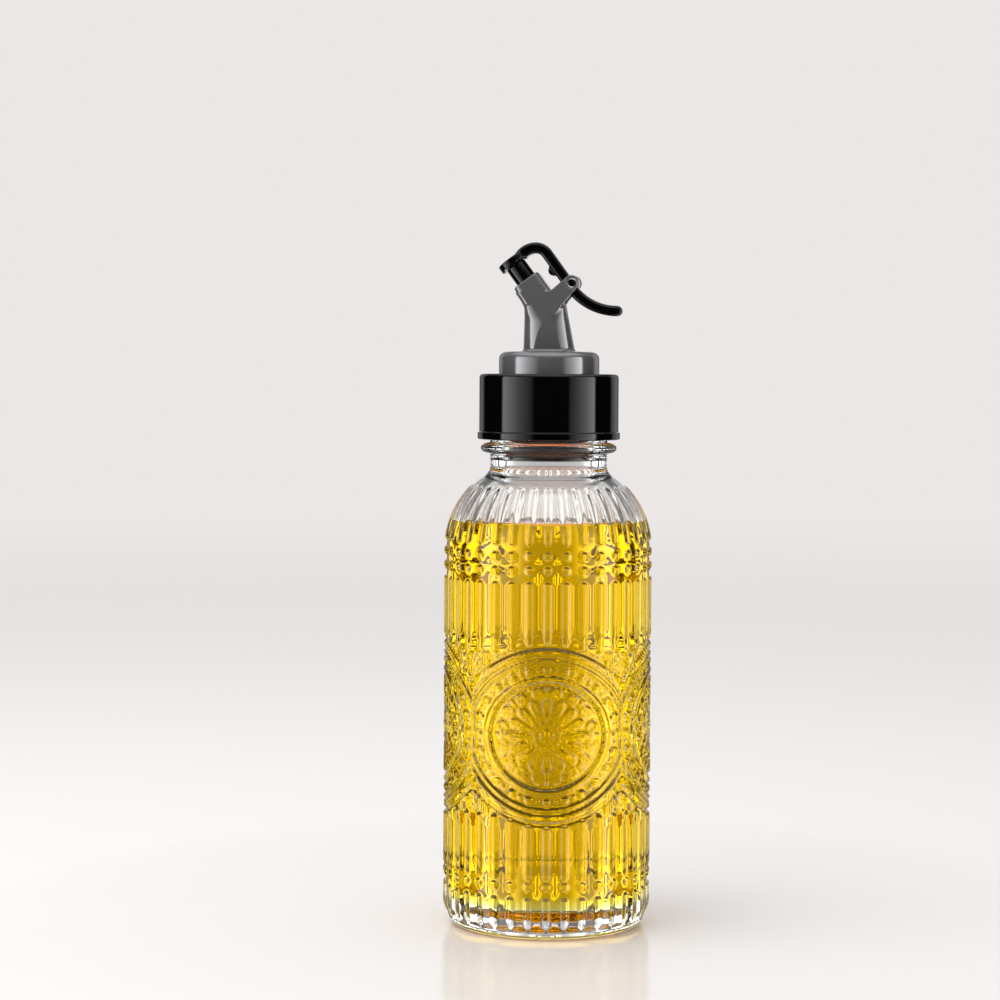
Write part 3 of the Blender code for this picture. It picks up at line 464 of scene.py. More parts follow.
def rounded(corners: Corners, steps: int = 5) -> Array:
    """Rounds the corners of an outline with arcs that touch both sides.

    A corner (x, y, r) of angle a gets the arc of radius r whose ends lie r / tan(a / 2) from it on each side.

    Args:
        corners: Points and fillet radii. The outline is closed.
        steps: Straight steps in each arc.

    Returns:
        (n, 2) array of points.
    """
    spots = np.array([c[:2] for c in corners], float)
    found = []
    for i, (x, y, radius) in enumerate(corners):
        corner = np.array([x, y])
        if radius <= 0:
            found.append(corner[None])
            continue
        back = spots[i - 1] - corner
        ahead = spots[(i + 1) % len(spots)] - corner
        back /= np.linalg.norm(back)
        ahead /= np.linalg.norm(ahead)
        half = math.acos(np.clip(back @ ahead, -1, 1)) / 2
        middle = (back + ahead) / np.linalg.norm(back + ahead)
        centre = corner + middle * radius / math.sin(half)
        reach = radius / math.tan(half)
        start = corner + back * reach - centre
        end = corner + ahead * reach - centre
        sweep = math.pi - 2 * half
        share = np.linspace(0, 1, steps + 1)[:, None]
        turned_to = (np.sin((1 - share) * sweep) * start + np.sin(share * sweep) * end) / math.sin(sweep)
        found.append(centre + turned_to)
    return np.concatenate(found)


def turned(
    name: str, corners: Corners, material: Material, steps: int = TURN_STEPS, fillet_steps: int = 5
) -> Object:
    """Turns a closed outline, which runs down its outer side, into a ring-shaped solid.

    Args:
        name: Piece name.
        corners: Radius, height and fillet radius of each corner. Corners on the axis become poles.
        material: Finish.
        steps: Steps round the axis.
        fillet_steps: Steps in each rounded corner.

    Returns:
        The object, with its axis on Z.
    """
    shell = RingShell(steps)
    shell.turn_all(rounded(corners, fillet_steps))
    if corners[0][0] > 0:
        shell.close()
    return shell.piece(name, [material], sharp=40)


def move_points(piece: Object, axes: Array, centre: Array) -> Object:
    """Puts a piece's mesh in place: each point becomes centre + x * axes[0] + y * axes[1] + z * axes[2].

    Args:
        piece: Object at the origin.
        axes: Rows are the new X, Y and Z directions.
        centre: New origin in millimetres.

    Returns:
        The piece.
    """
    points = np.empty(len(piece.data.vertices) * 3, np.float32)
    piece.data.vertices.foreach_get("co", points)
    moved = points.reshape(-1, 3) @ axes + centre * MM
    piece.data.vertices.foreach_set("co", moved.astype(np.float32).ravel())
    piece.data.update()
    return piece


# Rounded shares, and the thread that glass and cap have alike


def dome(share: Array) -> Array:
    """Round swelling: 1 in the middle and 0 from share 1 on, as (1 - share squared) to the power 0.6."""
    return np.clip(1 - share * share, 0, None) ** 0.6


def plateau(inside: Array, ramp: float) -> Array:
    """Raised field with a soft edge: 0 outside, s * s * (3 - 2 s) for a share s of the ramp, then 1."""
    share = np.clip(inside / ramp, 0, 1)
    return share * share * (3 - 2 * share)


def nearest(angle: Array, count: int, shift: float = 0.0) -> Array:
    """Nearest of some angles spaced evenly round a circle, all moved on by a share of the spacing."""
    pitch = TAU / count
    return (np.round(angle / pitch - shift) + shift) * pitch


@dataclass(frozen=True)
class Thread:
    """Rounded helical ridge of a 38 mm screw finish."""

    low: float
    turns: float
    rise: float
    half_width: float
    pitch: float = 4.2
    fade: float = 0.06

    def heights(self, angle: Array, height: float) -> Array:
        """Ridge over the core: a dome round a middle that climbs a pitch each turn and fades at both ends.

        Args:
            angle: Angles of a ring's points.
            height: Height of the ring.

        Returns:
            Rise at each angle.
        """
        raised = np.zeros_like(angle)
        for turn in range(math.ceil(self.turns)):
            along = angle / TAU + turn
            middle = self.low + self.pitch * along
            ends = plateau(along, self.fade) * plateau(self.turns - along, self.fade)
            raised = np.maximum(raised, self.rise * ends * dome((height - middle) / self.half_width))
        return raised


# Distance fields, for mouldings whose arms run into each other


def join_soft(a: Array, b: Array, fillet: float) -> Array:
    """Union of two distance fields: the lower one, less close * close * fillet / 4 where they are alike."""
    close = np.clip(fillet - np.abs(a - b), 0, None) / fillet
    return np.minimum(a, b) - close * close * fillet / 4


def cut_soft(a: Array, tool: Array, edge: float) -> Array:
    """Difference of two distance fields with a softened edge."""
    return -join_soft(-a, tool, edge)


def meet(side: Array, lip: Array, edge: float) -> Array:
    """Intersection of two distance fields whose common edge is rounded: the hypotenuse of what sticks out.

    Args:
        side: First field.
        lip: Second field.
        edge: Radius of the rounding.

    Returns:
        Distance to what both hold.
    """
    side, lip = side + edge, lip + edge
    outside = np.hypot(np.clip(side, 0, None), np.clip(lip, 0, None))
    return outside + np.minimum(np.maximum(side, lip), 0) - edge


def pull(flat: Array, across: Array, half: float, edge: float) -> Array:
    """Plate of thickness 2 * half from a distance field in its plane, with rounded edges."""
    return meet(np.abs(across) - half, flat, edge)


def field_piece(name: str, shape: Field, low: Array, high: Array, cell: float, material: Material) -> Object:
    """Lays a mesh on the zero level of a distance field.

    Every cell of a grid that the surface crosses gets one point, the mean of the crossings on the cell's
    edges, and every crossed edge gets one face between the four cells round it. Three steps down the field's
    slope then put each point on the surface, and the slope gives its normal.

    Args:
        name: Piece name.
        shape: Field that is negative inside the piece, for (..., 3) points in millimetres.
        low: Lowest corner of the grid.
        high: Highest corner of the grid.
        cell: Grid spacing.
        material: Finish.

    Returns:
        The object.
    """
    axes = [np.arange(a, b + cell, cell) for a, b in zip(low, high)]
    grid = np.stack(np.meshgrid(*axes, indexing="ij"), axis=-1)
    values = shape(grid)
    inside = values < 0
    hits = np.zeros([n - 1 for n in values.shape])
    total = np.zeros([*hits.shape, 3])
    crossings = []
    for axis in range(3):
        head, tail = [slice(None)] * 3, [slice(None)] * 3
        head[axis], tail[axis] = slice(0, -1), slice(1, None)
        head, tail = tuple(head), tuple(tail)
        crossed = inside[head] != inside[tail]
        gap = np.where(crossed, values[head] - values[tail], 1.0)
        share = np.where(crossed, values[head] / gap, 0.0)
        spot = grid[head] + share[..., None] * cell * np.eye(3)[axis]
        spot *= crossed[..., None]
        one, two = [other for other in range(3) if other != axis]
        for shift_one, shift_two in ((0, 0), (0, 1), (1, 0), (1, 1)):
            pick = [slice(None)] * 3
            pick[one] = slice(shift_one, shift_one - 1 or None)
            pick[two] = slice(shift_two, shift_two - 1 or None)
            total += spot[tuple(pick)]
            hits += crossed[tuple(pick)]
        crossings.append((axis, crossed, inside[head]))
    used = hits > 0
    number = np.full(hits.shape, -1)
    number[used] = np.arange(used.sum())
    points = total[used] / hits[used][:, None]
    faces = []
    for axis, crossed, solid_first in crossings:
        spot = np.argwhere(crossed)
        step_one, step_two = np.eye(3, dtype=int)[(axis + 1) % 3], np.eye(3, dtype=int)[(axis + 2) % 3]
        ring = [spot - step_one - step_two, spot - step_two, spot, spot - step_one]
        quad = np.stack([number[tuple(c.T)] for c in ring], axis=1)
        first = solid_first[crossed]
        faces.append(np.where(first[:, None], quad, quad[:, ::-1]))
    probe = cell / 16
    for _ in range(3):
        level = shape(points)
        rises = [(shape(points + probe * e) - shape(points - probe * e)) / (2 * probe) for e in np.eye(3)]
        slope = np.stack(rises, axis=-1)
        steep = np.maximum(np.sum(slope * slope, axis=-1), 0.25)
        points = points - slope * np.clip(level / steep, -cell / 2, cell / 2)[:, None]
    piece = new_piece(name, points, faces, [material])
    slope /= np.maximum(np.linalg.norm(slope, axis=1), 1e-6)[:, None]
    if len(piece.data.vertices) == len(slope):
        piece.data.normals_split_custom_set_from_vertices(slope.tolist())
    return piece


# Shared places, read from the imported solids


def node_box(node: str) -> tuple[Array, Array]:
    """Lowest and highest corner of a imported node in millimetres."""
    low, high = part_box(node)
    return np.array(low) / MM, np.array(high) / MM


@dataclass
class Layout:
    """Places that the pieces share, in millimetres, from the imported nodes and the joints."""

    bottle_top: float
    body_radius: float
    pivot: Array
    clamp_top: float
    collar_height: float = 9.0
    mouth_above_fork: float = 4.55
    neck_rise: float = 17.6
    mouth_x: float = -7.2
    nozzle_tilt: float = math.radians(36.5)
    collar_top: float = field(init=False)
    fork: float = field(init=False)
    mouth: Array = field(init=False)
    nozzle_axes: Array = field(init=False)

    def __post_init__(self) -> None:
        """Works out the collar's top, the height of the fork, and the nozzle's mouth and directions."""
        self.collar_top = self.clamp_top + self.collar_height
        self.fork = self.collar_top + self.neck_rise
        self.mouth = np.array([self.mouth_x, 0, self.fork + self.mouth_above_fork])
        sine, cosine = math.sin(self.nozzle_tilt), math.cos(self.nozzle_tilt)
        self.nozzle_axes = np.array([[cosine, 0, sine], [0, 1, 0], [-sine, 0, cosine]])

    @classmethod
    def from_frame(cls, frame: dict) -> "Layout":
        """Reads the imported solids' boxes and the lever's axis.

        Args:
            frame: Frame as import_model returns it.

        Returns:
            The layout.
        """
        bottle_high = node_box("glass_bottle")[1]
        gasket_top = node_box("rim_gasket")[1][2]
        lever = next(j for j in frame["joints"] if j["name"] == "lever_press")
        clamp_top = gasket_top + SEAT_GAP + Pourer.clamp_thickness
        return cls(bottle_high[2], bottle_high[0], np.array(lever["pos_m"]) / MM, clamp_top)

    def at_nozzle(self, p: Array) -> tuple[Array, Array, Array, Array]:
        """Nozzle's own coordinates of points: across, sideways, along from the mouth, and off its axis."""
        local = (p - self.mouth) @ self.nozzle_axes.T
        return local[..., 0], local[..., 1], local[..., 2], np.hypot(local[..., 0], local[..., 1])

    def from_pivot(self, p: Array) -> Array:
        """Distance of points from the lever's axis."""
        return np.hypot(p[..., 0] - self.pivot[0], p[..., 2] - self.pivot[2])

    def on_nozzle(self, piece: Object) -> Object:
        """Moves a turned piece from Z to the nozzle's axis, counted from the mouth."""
        return move_points(piece, self.nozzle_axes, self.mouth)


# Bottle


def to_quarter(angle: Array) -> Array:
    """Angle from the nearest of the four medallions' middles."""
    return (angle + math.pi / 4) % RIGHT_ANGLE - math.pi / 4


@dataclass
class GlassRelief:
    """Pressed pattern of the bottle, as heights over the ground, in millimetres.

    A medallion's flat rings are (inner radius, outer radius, rise), its hoops (radius, half width, rise), and
    its rings of beads (radius of the ring, number of beads, share of their spacing by which they are shifted,
    radius of a bead, rise). Scallop rims are (radius, half width).
    """

    radius: float
    rib_count: int = 36
    rib_width: float = 2.3
    rib_height: float = 0.63
    flute: tuple = (120.4, 137.7)
    foot_rib: tuple = (4.4, 13.4)
    bead_rows: tuple = (117.1, 112.7, 16.7)
    bead_radius: float = 1.45
    bead_height: float = 0.66
    upper_rib_top: float = 109.4
    upper_rib_lowest: float = 87.6
    lower_rib_highest: float = 38.4
    lower_rib_bottom: float = 18.4
    medallion_height: float = 62.8
    medallion_stretch: float = 1.04
    rib_clear_radius: float = 27.6
    flat_rings: tuple = ((23.9, 26.5, 0.5), (16.3, 18.4, 0.6))
    hoops: tuple = ((22.9, 0.75, 0.64), (3.4, 0.55, 0.5), (0.0, 2.4, 0.66))
    bead_rings: tuple = ((20.2, 24, 0.0, 1.35, 0.62), (20.2, 24, 0.5, 0.75, 0.45))
    grooves: tuple = (27.2, 23.7, 15.8)
    groove_half: float = 0.55
    groove_side: float = 22.4
    carving_depth: float = 0.34
    petal_count: int = 16
    petal_ends: tuple = (3.9, 11.6)
    petal_rise: float = 0.6
    petal_groove: float = 0.42
    spear_middle: float = 12.6
    spear_reach: float = 2.9
    spear_half: float = 1.5
    spear_rise: float = 0.64
    curl_ring: float = 13.1
    curl_radius: float = 1.2
    curl_rise: float = 0.58
    leaf_ends: tuple = (12.2, 15.2)
    leaf_rise: float = 0.5
    scallop_height: float = 21.0
    scallop_rims: tuple = ((4.3, 0.55), (5.9, 0.6))
    scallop_rise: float = 0.62
    fan_radius: float = 3.6
    fan_flutes: int = 10
    heart_radius: float = 1.1
    divider_height: float = 15.0

    def bar(self, side: Array, height: Array, low: Array, high: Array, width: float) -> Array:
        """Upright half-round bar with round ends: a dome over the distance from its middle line.

        Args:
            side: Distance along the wall from the bar's middle.
            height: Heights of the points.
            low: Lower end.
            high: Upper end.
            width: Width of the bar.

        Returns:
            Share of the full rise.
        """
        half = width / 2
        past = np.maximum(np.maximum(low + half - height, height - high + half), 0)
        return dome(np.hypot(side, past) / half)

    def heights(self, turn: Array, height: Array, radius: Array) -> Array:
        """Relief of the wall: ribs, flutes, beads and scallops, and the four medallions with their grooves.

        The ribs end on a circle round each medallion, medallion height +- sqrt(clear radius squared - reach
        squared), where reach is how far the rib stands from the medallion's middle.

        Args:
            turn: Angles from a medallion's middle.
            height: Heights of the points.
            radius: Ground radii there.

        Returns:
            Rise over the ground.
        """
        middle = nearest(turn, self.rib_count)
        side = (turn - middle) * radius
        reach = self.radius * np.sin(to_quarter(middle))
        clear = np.sqrt(np.clip(self.rib_clear_radius**2 - reach**2, 0, None))
        low = np.maximum(self.medallion_height + clear, self.upper_rib_lowest)
        high = np.minimum(self.medallion_height - clear, self.lower_rib_highest)
        ribs = [
            self.bar(side, height, low, self.upper_rib_top, self.rib_width),
            self.bar(side, height, self.lower_rib_bottom, high, self.rib_width),
            self.bar(side, height, *self.flute, self.rib_width * 0.9),
            self.bar(side, height, *self.foot_rib, self.rib_width * 0.95),
        ]
        beads = [dome(np.hypot(side, height - row) / self.bead_radius) for row in self.bead_rows]
        quarter = to_quarter(turn)
        x = self.radius * np.sin(quarter) / self.medallion_stretch
        z = height - self.medallion_height
        parts = [self.rib_height * np.maximum.reduce(ribs), self.bead_height * np.maximum.reduce(beads)]
        parts += [self.scallops(quarter, z), self.medallion(x, z)]
        return np.maximum.reduce(parts) - self.carving(x, z)

    def medallion(self, x: Array, z: Array) -> Array:
        """Round medallion in the flat of its own side: flat rings, hoops, rings of beads and a rosette.

        Args:
            x: Places sideways from its middle.
            z: Places up from its middle.

        Returns:
            Rise over the ground.
        """
        r = np.hypot(x, z)
        angle = np.arctan2(x, z)
        parts = [rise * plateau(high - r, 0.5) * plateau(r - low, 0.5) for low, high, rise in self.flat_rings]
        parts += [rise * dome((r - middle) / half) for middle, half, rise in self.hoops]
        parts += [self.ring_of_beads(r, angle, *ring) for ring in self.bead_rings]
        return np.maximum.reduce([*parts, self.rosette(r, angle)])

    def carving(self, x: Array, z: Array) -> Array:
        """Grooves that set off the medallion's rings from the ground beside them."""
        r = np.hypot(x, z)
        grooves = [dome((r - middle) / self.groove_half) for middle in self.grooves]
        return self.carving_depth * np.maximum.reduce(grooves) * (np.abs(x) < self.groove_side)

    def ring_of_beads(
        self, r: Array, angle: Array, ring: float, count: int, shift: float, radius: float, rise: float
    ) -> Array:
        """Beads evenly spaced on a circle: a dome over the distance to the nearest one."""
        off = angle - nearest(angle, count, shift)
        return rise * dome(np.hypot(r * np.sin(off), r * np.cos(off) - ring) / radius)

    def rosette(self, r: Array, angle: Array) -> Array:
        """Petals with a groove each, four spear points, and a ring of curls and leaves between them.

        A petal's half width is 0.35 + 1.75 s sqrt(1 - s to the power 6), for a share s of its length.

        Args:
            r: Distances from the medallion's middle.
            angle: Angles round it.

        Returns:
            Rise over the ground.
        """
        start, end = self.petal_ends
        off = (angle - nearest(angle, self.petal_count)) * r
        along = np.clip((r - start) / (end - start), 0, 1)
        half = 0.35 + 1.75 * along * np.sqrt(np.clip(1 - along**6, 0, 1))
        petal = self.petal_rise * dome(off / half) * (r > start) * (r < end)
        groove = self.petal_groove * dome(off / self.petal_groove) * (along > 0.08) * (along < 0.85)
        spear_half = self.spear_half * np.clip(1 - np.abs(r - self.spear_middle) / self.spear_reach, 0, 1)
        spear_side = (angle - nearest(angle, 4)) * r
        spear = self.spear_rise * dome(spear_side / np.maximum(spear_half, 1e-3)) * (spear_half > 0)
        low, high = self.leaf_ends
        leaf_side = r * np.sin(angle - nearest(angle, 8))
        leaf = self.leaf_rise * dome(leaf_side / 0.6) * plateau(r - low, 0.4) * plateau(high - r, 0.5)
        parts = [petal - groove, spear, leaf]
        for shift in (0.25, 0.75):
            off = angle - nearest(angle, 8, shift)
            spot = np.hypot(r * np.sin(off), r * np.cos(off) - self.curl_ring)
            curl, dot = dome((spot - self.curl_radius) / 0.5), dome(spot / 0.55)
            parts += [self.curl_rise * curl, self.curl_rise * dot]
        return np.maximum.reduce(parts)

    def scallops(self, quarter: Array, z: Array) -> Array:
        """Fluted scallops with double U-shaped rims in the corners between neighbouring medallions.

        Args:
            quarter: Angles from the nearest medallion's middle.
            z: Places up from that middle.

        Returns:
            Rise over the ground.
        """
        x = self.radius * (np.abs(quarter) - math.pi / 4)
        up = np.abs(z) - self.scallop_height
        bowl = np.hypot(x, np.minimum(up, 0))
        r = np.hypot(x, up)
        flutes = 0.55 + 0.45 * np.cos(np.arctan2(x, up) * self.fan_flutes)
        fan = 0.6 * plateau(self.fan_radius - r, 0.6) * flutes
        rims = np.maximum.reduce([dome((bowl - middle) / half) for middle, half in self.scallop_rims])
        rims = self.scallop_rise * rims * plateau(4.4 - up, 0.8) * plateau(np.abs(z) - 13.0, 1.0)
        divider = 0.5 * dome(x / 0.8) * plateau(self.divider_height - np.abs(z), 1.0)
        return np.maximum.reduce([fan, rims, 0.64 * dome(r / self.heart_radius), divider])


@dataclass
class GlassBottle:
    """Pressed bottle with its relief, screw thread and smooth inside, and the oil that it holds."""

    layout: Layout
    camera_turn: float
    ground_depth: float = 0.66
    rib_count: int = GlassRelief.rib_count
    fine_steps: int = 432
    coarse_steps: int = 108
    flank_shares: tuple = (0.0, 0.08, 0.142, 0.177, 0.198, 0.335, 0.5)
    wall: float = 3.0
    floor: float = 7.2
    floor_corner: float = 6.0
    shoulder_base: float = 117.8
    shoulder_centre: float = 3.1
    shoulder_rise: float = 28.0
    bore_share: float = 0.893
    fillet_radius: float = 4.0
    fillet_height: float = 143.8
    fillet_end: float = 140.5
    foot_radius: float = 27.5
    foot_corner: float = 8.0
    foot_ring: float = 5.0
    punt_depth: float = 1.0
    punt_slope: float = 2.0
    neck_radius: float = 18.2
    bore_radius: float = 15.0
    lip: float = 1.1
    bead_foot: float = 0.25
    bead_reach: float = 3.1
    bead_height: float = 149.1
    bead_half: float = 1.7
    oil_height: float = 126.0
    oil_gap: float = 0.02
    oil_climb: float = 0.7
    thread: Thread = Thread(low=153.8, turns=1.6, rise=1.2, half_width=1.15)
    thread_step: float = 0.42

    def shoulder_radius(self, height: Array, inset: float) -> Array:
        """Quarter ellipse: r = c + w * sqrt(1 - ((z - base) / rise) squared), moved in by the inset.

        Args:
            height: Heights of the points.
            inset: Distance from the widest outside, which is the wall's thickness for the inside.

        Returns:
            Radii.
        """
        width = self.layout.body_radius - self.shoulder_centre - inset
        rise = self.shoulder_rise - (self.wall if inset >= self.wall else 0)
        share = np.clip((height - self.shoulder_base) / rise, 0, 1)
        return self.shoulder_centre + width * np.sqrt(1 - share * share)

    def ground(self, height: Array) -> Array:
        """Outer radius before the relief, a relief's depth inside the widest size below the fillet.

        Args:
            height: Heights of the points.

        Returns:
            Radii.
        """
        foot_share = np.clip(1 - height / self.foot_corner, 0, 1)
        foot = (self.layout.body_radius - self.foot_radius) * (1 - np.sqrt(1 - foot_share**2))
        depth = self.ground_depth * plateau(height - 1.0, 3.5)
        return self.shoulder_radius(height, self.ground_depth) - foot - depth + self.ground_depth

    def relief_rows(self) -> Levels:
        """Height and column fit of each ring from top to bottom, closer where the pattern is fine.

        Each run is its top height, its number of steps, and how far its columns draw in to the ribs' flanks.

        Returns:
            Heights and fits.
        """
        runs = [
            (139.6, 2, 0.3), (138.3, 7, 1), (136.2, 7, 1), (122.4, 6, 1), (119.9, 2, 1), (119.0, 9, 0),
            (115.2, 1, 0), (114.5, 9, 0), (111.0, 2, 0), (110.0, 7, 1), (107.8, 3, 1), (92.6, 11, 1),
            (87.4, 80, 0), (38.6, 11, 0), (33.6, 3, 1), (20.6, 7, 1), (18.3, 1, 0.6), (18.1, 9, 0),
            (15.2, 2, 0), (13.9, 6, 1), (12.0, 3, 1), (7.0, 0, 1),
        ]
        rows = []
        for (top, count, fit), (bottom, _, next_fit) in zip(runs[:-1], runs[1:]):
            for share in np.arange(count) / count:
                rows.append((top + (bottom - top) * share, fit + (next_fit - fit) * share))
        for angle in np.linspace(math.asin(1 / self.foot_corner), RIGHT_ANGLE, 10):
            rows.append((self.foot_corner * (1 - math.sin(angle)), 1.0))
        return rows

    def columns(self, fit: float) -> Array:
        """Angles of a ring's points: even steps, drawn in to the ribs' flanks as the fit goes from 0 to 1.

        Args:
            fit: Share by which the points are drawn in.

        Returns:
            Angles round the bottle.
        """
        half = self.fine_steps // self.rib_count // 2
        even = np.arange(half + 1) / (2 * half)
        share = even + (np.array(self.flank_shares) - even) * fit
        share = np.concatenate([share, 1 - share[-2:0:-1]])
        return ((np.arange(self.rib_count)[:, None] + share) * TAU / self.rib_count).ravel()

    def build(self, glass: Material, wet: Material) -> Object:
        """Lays rings up the smooth inside, over the rim and down the pressed outside.

        Args:
            glass: Finish of the glass.
            wet: Finish of the wall that the oil wets.

        Returns:
            The bottle, with a medallion turned to the camera.
        """
        shell = RingShell(self.coarse_steps)
        self.add_inside(shell)
        self.add_neck(shell)
        self.add_relief(shell)
        ring_inner = self.foot_radius - self.foot_ring
        shell.turn(ring_inner + 0.8, 0.0)
        shell.turn(ring_inner - self.punt_slope, self.punt_depth)
        shell.turn(0.0, self.punt_depth)
        bottle = shell.piece("pressed_glass_bottle", [glass, wet])
        cosine, sine = math.cos(self.camera_turn), math.sin(self.camera_turn)
        return move_points(bottle, np.array([[cosine, sine, 0], [-sine, cosine, 0], [0, 0, 1]]), np.zeros(3))

    def lining(self, gap: float) -> Array:
        """Radius and height of the rings that the oil wets, from the floor up: a rounded corner and the wall.

        Args:
            gap: Distance from the glass.

        Returns:
            (n, 2) array.
        """
        corner = self.floor_corner
        middle = (self.layout.body_radius - self.wall - gap - corner, self.floor + gap + corner)
        heights = np.concatenate([np.linspace(30, 117, 6), np.linspace(118.5, self.oil_height, 6)])
        wall = np.stack([self.shoulder_radius(heights, self.wall) - gap, heights], axis=1)
        return np.concatenate([arc(middle, corner, -RIGHT_ANGLE, 0, 9), wall])

    def add_inside(self, shell: RingShell) -> None:
        """Adds the inside from the floor to the rim's inner edge, wetted up to the oil's level.

        Args:
            shell: Surface of the bottle, still empty.
        """
        shell.turn(0.0, self.floor, 1)
        shell.turn((self.layout.body_radius - self.wall - self.floor_corner) / 2, self.floor, 1)
        shell.turn_all(self.lining(0.0), 1)
        bore_top = self.shoulder_base + (self.shoulder_rise - self.wall) * self.bore_share
        for share in np.linspace(0.08, 1, 14):
            height = self.oil_height + (bore_top - self.oil_height) * share
            shell.turn(max(self.shoulder_radius(height, self.wall), self.bore_radius), height)
        for height in (bore_top + 1.0, 150.0, self.layout.bottle_top - 1.6):
            shell.turn(self.bore_radius, height)

    def add_neck(self, shell: RingShell) -> None:
        """Adds the rim, the threaded neck, the bead under it and the fillet down to the shoulder.

        Args:
            shell: Surface of the bottle, up to the rim's inner edge.
        """
        top, lip, neck = self.layout.bottle_top, self.lip, self.neck_radius
        for angle in np.linspace(math.pi, 0, 11):
            middle = self.bore_radius + lip if angle > RIGHT_ANGLE else neck - lip
            shell.turn(middle + lip * math.cos(angle), top - lip + lip * math.sin(angle))
        for height in np.arange(top - lip - 0.4, self.bead_height + self.bead_half + 0.8, -self.thread_step):
            shell.turn(neck + self.thread.heights(shell.angles, height), height)
        for angle in np.linspace(RIGHT_ANGLE, -RIGHT_ANGLE, 13):
            swell = (self.bead_reach - self.bead_foot) * max(math.cos(angle), 0) ** 0.8
            shell.turn(neck + self.bead_foot + swell, self.bead_height + self.bead_half * math.sin(angle))
        shell.turn(neck, self.fillet_height + 1.4)
        fillet = self.fillet_radius
        sweep = math.asin((self.fillet_height - self.fillet_end) / fillet)
        shell.turn_all(arc((neck + fillet, self.fillet_height), fillet, math.pi, math.pi + sweep, 7))

    def add_relief(self, shell: RingShell) -> None:
        """Adds the pressed outside: the ground radius plus the relief at every angle and height.

        Args:
            shell: Surface of the bottle, down to the neck's fillet.
        """
        relief = GlassRelief(self.layout.body_radius - self.ground_depth)
        limit = min(1.0, self.ground_depth / relief.bead_height)
        for height, fit in self.relief_rows():
            angle = self.columns(fit)
            ground = self.ground(np.float64(height))
            rise = relief.heights(angle, np.full(len(angle), height), ground)
            shell.add(circle(ground + rise * limit * plateau(np.float64(height), 2.5), height, angle))

    def oil(self, side: Material, surface: Material) -> Object:
        """Body of oil just inside the wetted wall, with a meniscus where its top climbs the glass.

        The meniscus stands climb * exp(-inset / 0.9) over the oil's level.

        Args:
            side: Finish against the glass.
            surface: Finish against the air.

        Returns:
            The oil.
        """
        shell = RingShell(self.coarse_steps)
        rim = self.shoulder_radius(np.float64(self.oil_height + self.oil_climb), self.wall) - self.oil_gap
        shell.turn(0.0, self.oil_height)
        for inset in (rim * 0.6, 8.0, 5.0, 3.5, 2.5, 1.8, 1.2, 0.8, 0.4, 0.15, 0.0):
            shell.turn(rim - inset, self.oil_height + self.oil_climb * math.exp(-inset / 0.9), 1)
        shell.turn_all(self.lining(self.oil_gap)[::-1])
        shell.turn(0.0, self.floor + self.oil_gap)
        return shell.piece("cooking_oil", [side, surface])


# Closure


@dataclass
class ScrewCap:
    """Black collar with a rounded top edge, a bead along its mouth and a thread inside."""

    wall: float = 1.8
    roof: float = 1.8
    edge: float = 1.2
    bead_step: float = 0.5
    bead_height: float = 2.1
    hole_radius: float = 16.0
    thread_start: float = 2.2
    thread_step: float = 0.42

    def build(self, material: Material) -> Object:
        """Turns the cap's outline, with a helical ridge on the bore.

        Args:
            material: Finish.

        Returns:
            The cap.
        """
        (_, _, low), (bead, _, high) = node_box("screw_cap")
        outer = bead - self.bead_step
        bore = outer - self.wall
        bead_top = low + self.bead_height
        roof = high - self.roof
        outline = rounded([
            (self.hole_radius, high, 0.25), (outer, high, self.edge), (outer, bead_top + 0.35, 0.2),
            (bead, bead_top + 0.05, 0.3), (bead, low, 0.4), (bore + 0.4, low, 0.3), (bore, low + 0.5, 0.2),
            (bore, roof, 0.3), (self.hole_radius, roof, 0.2),
        ])
        thread = Thread(low + self.thread_start, turns=2.4, rise=0.7, half_width=1.0)
        shell = RingShell()
        previous = outline[0]
        for spot in outline:
            if max(abs(previous[0] - bore), abs(spot[0] - bore)) < 1e-6 and spot[1] - previous[1] > 5:
                for height in np.arange(previous[1] + 0.4, spot[1] - 0.2, self.thread_step):
                    shell.turn(bore - thread.heights(shell.angles, height), height)
            shell.turn(*spot)
            previous = spot
        shell.close()
        return shell.piece("threaded_cap", [material], sharp=50)


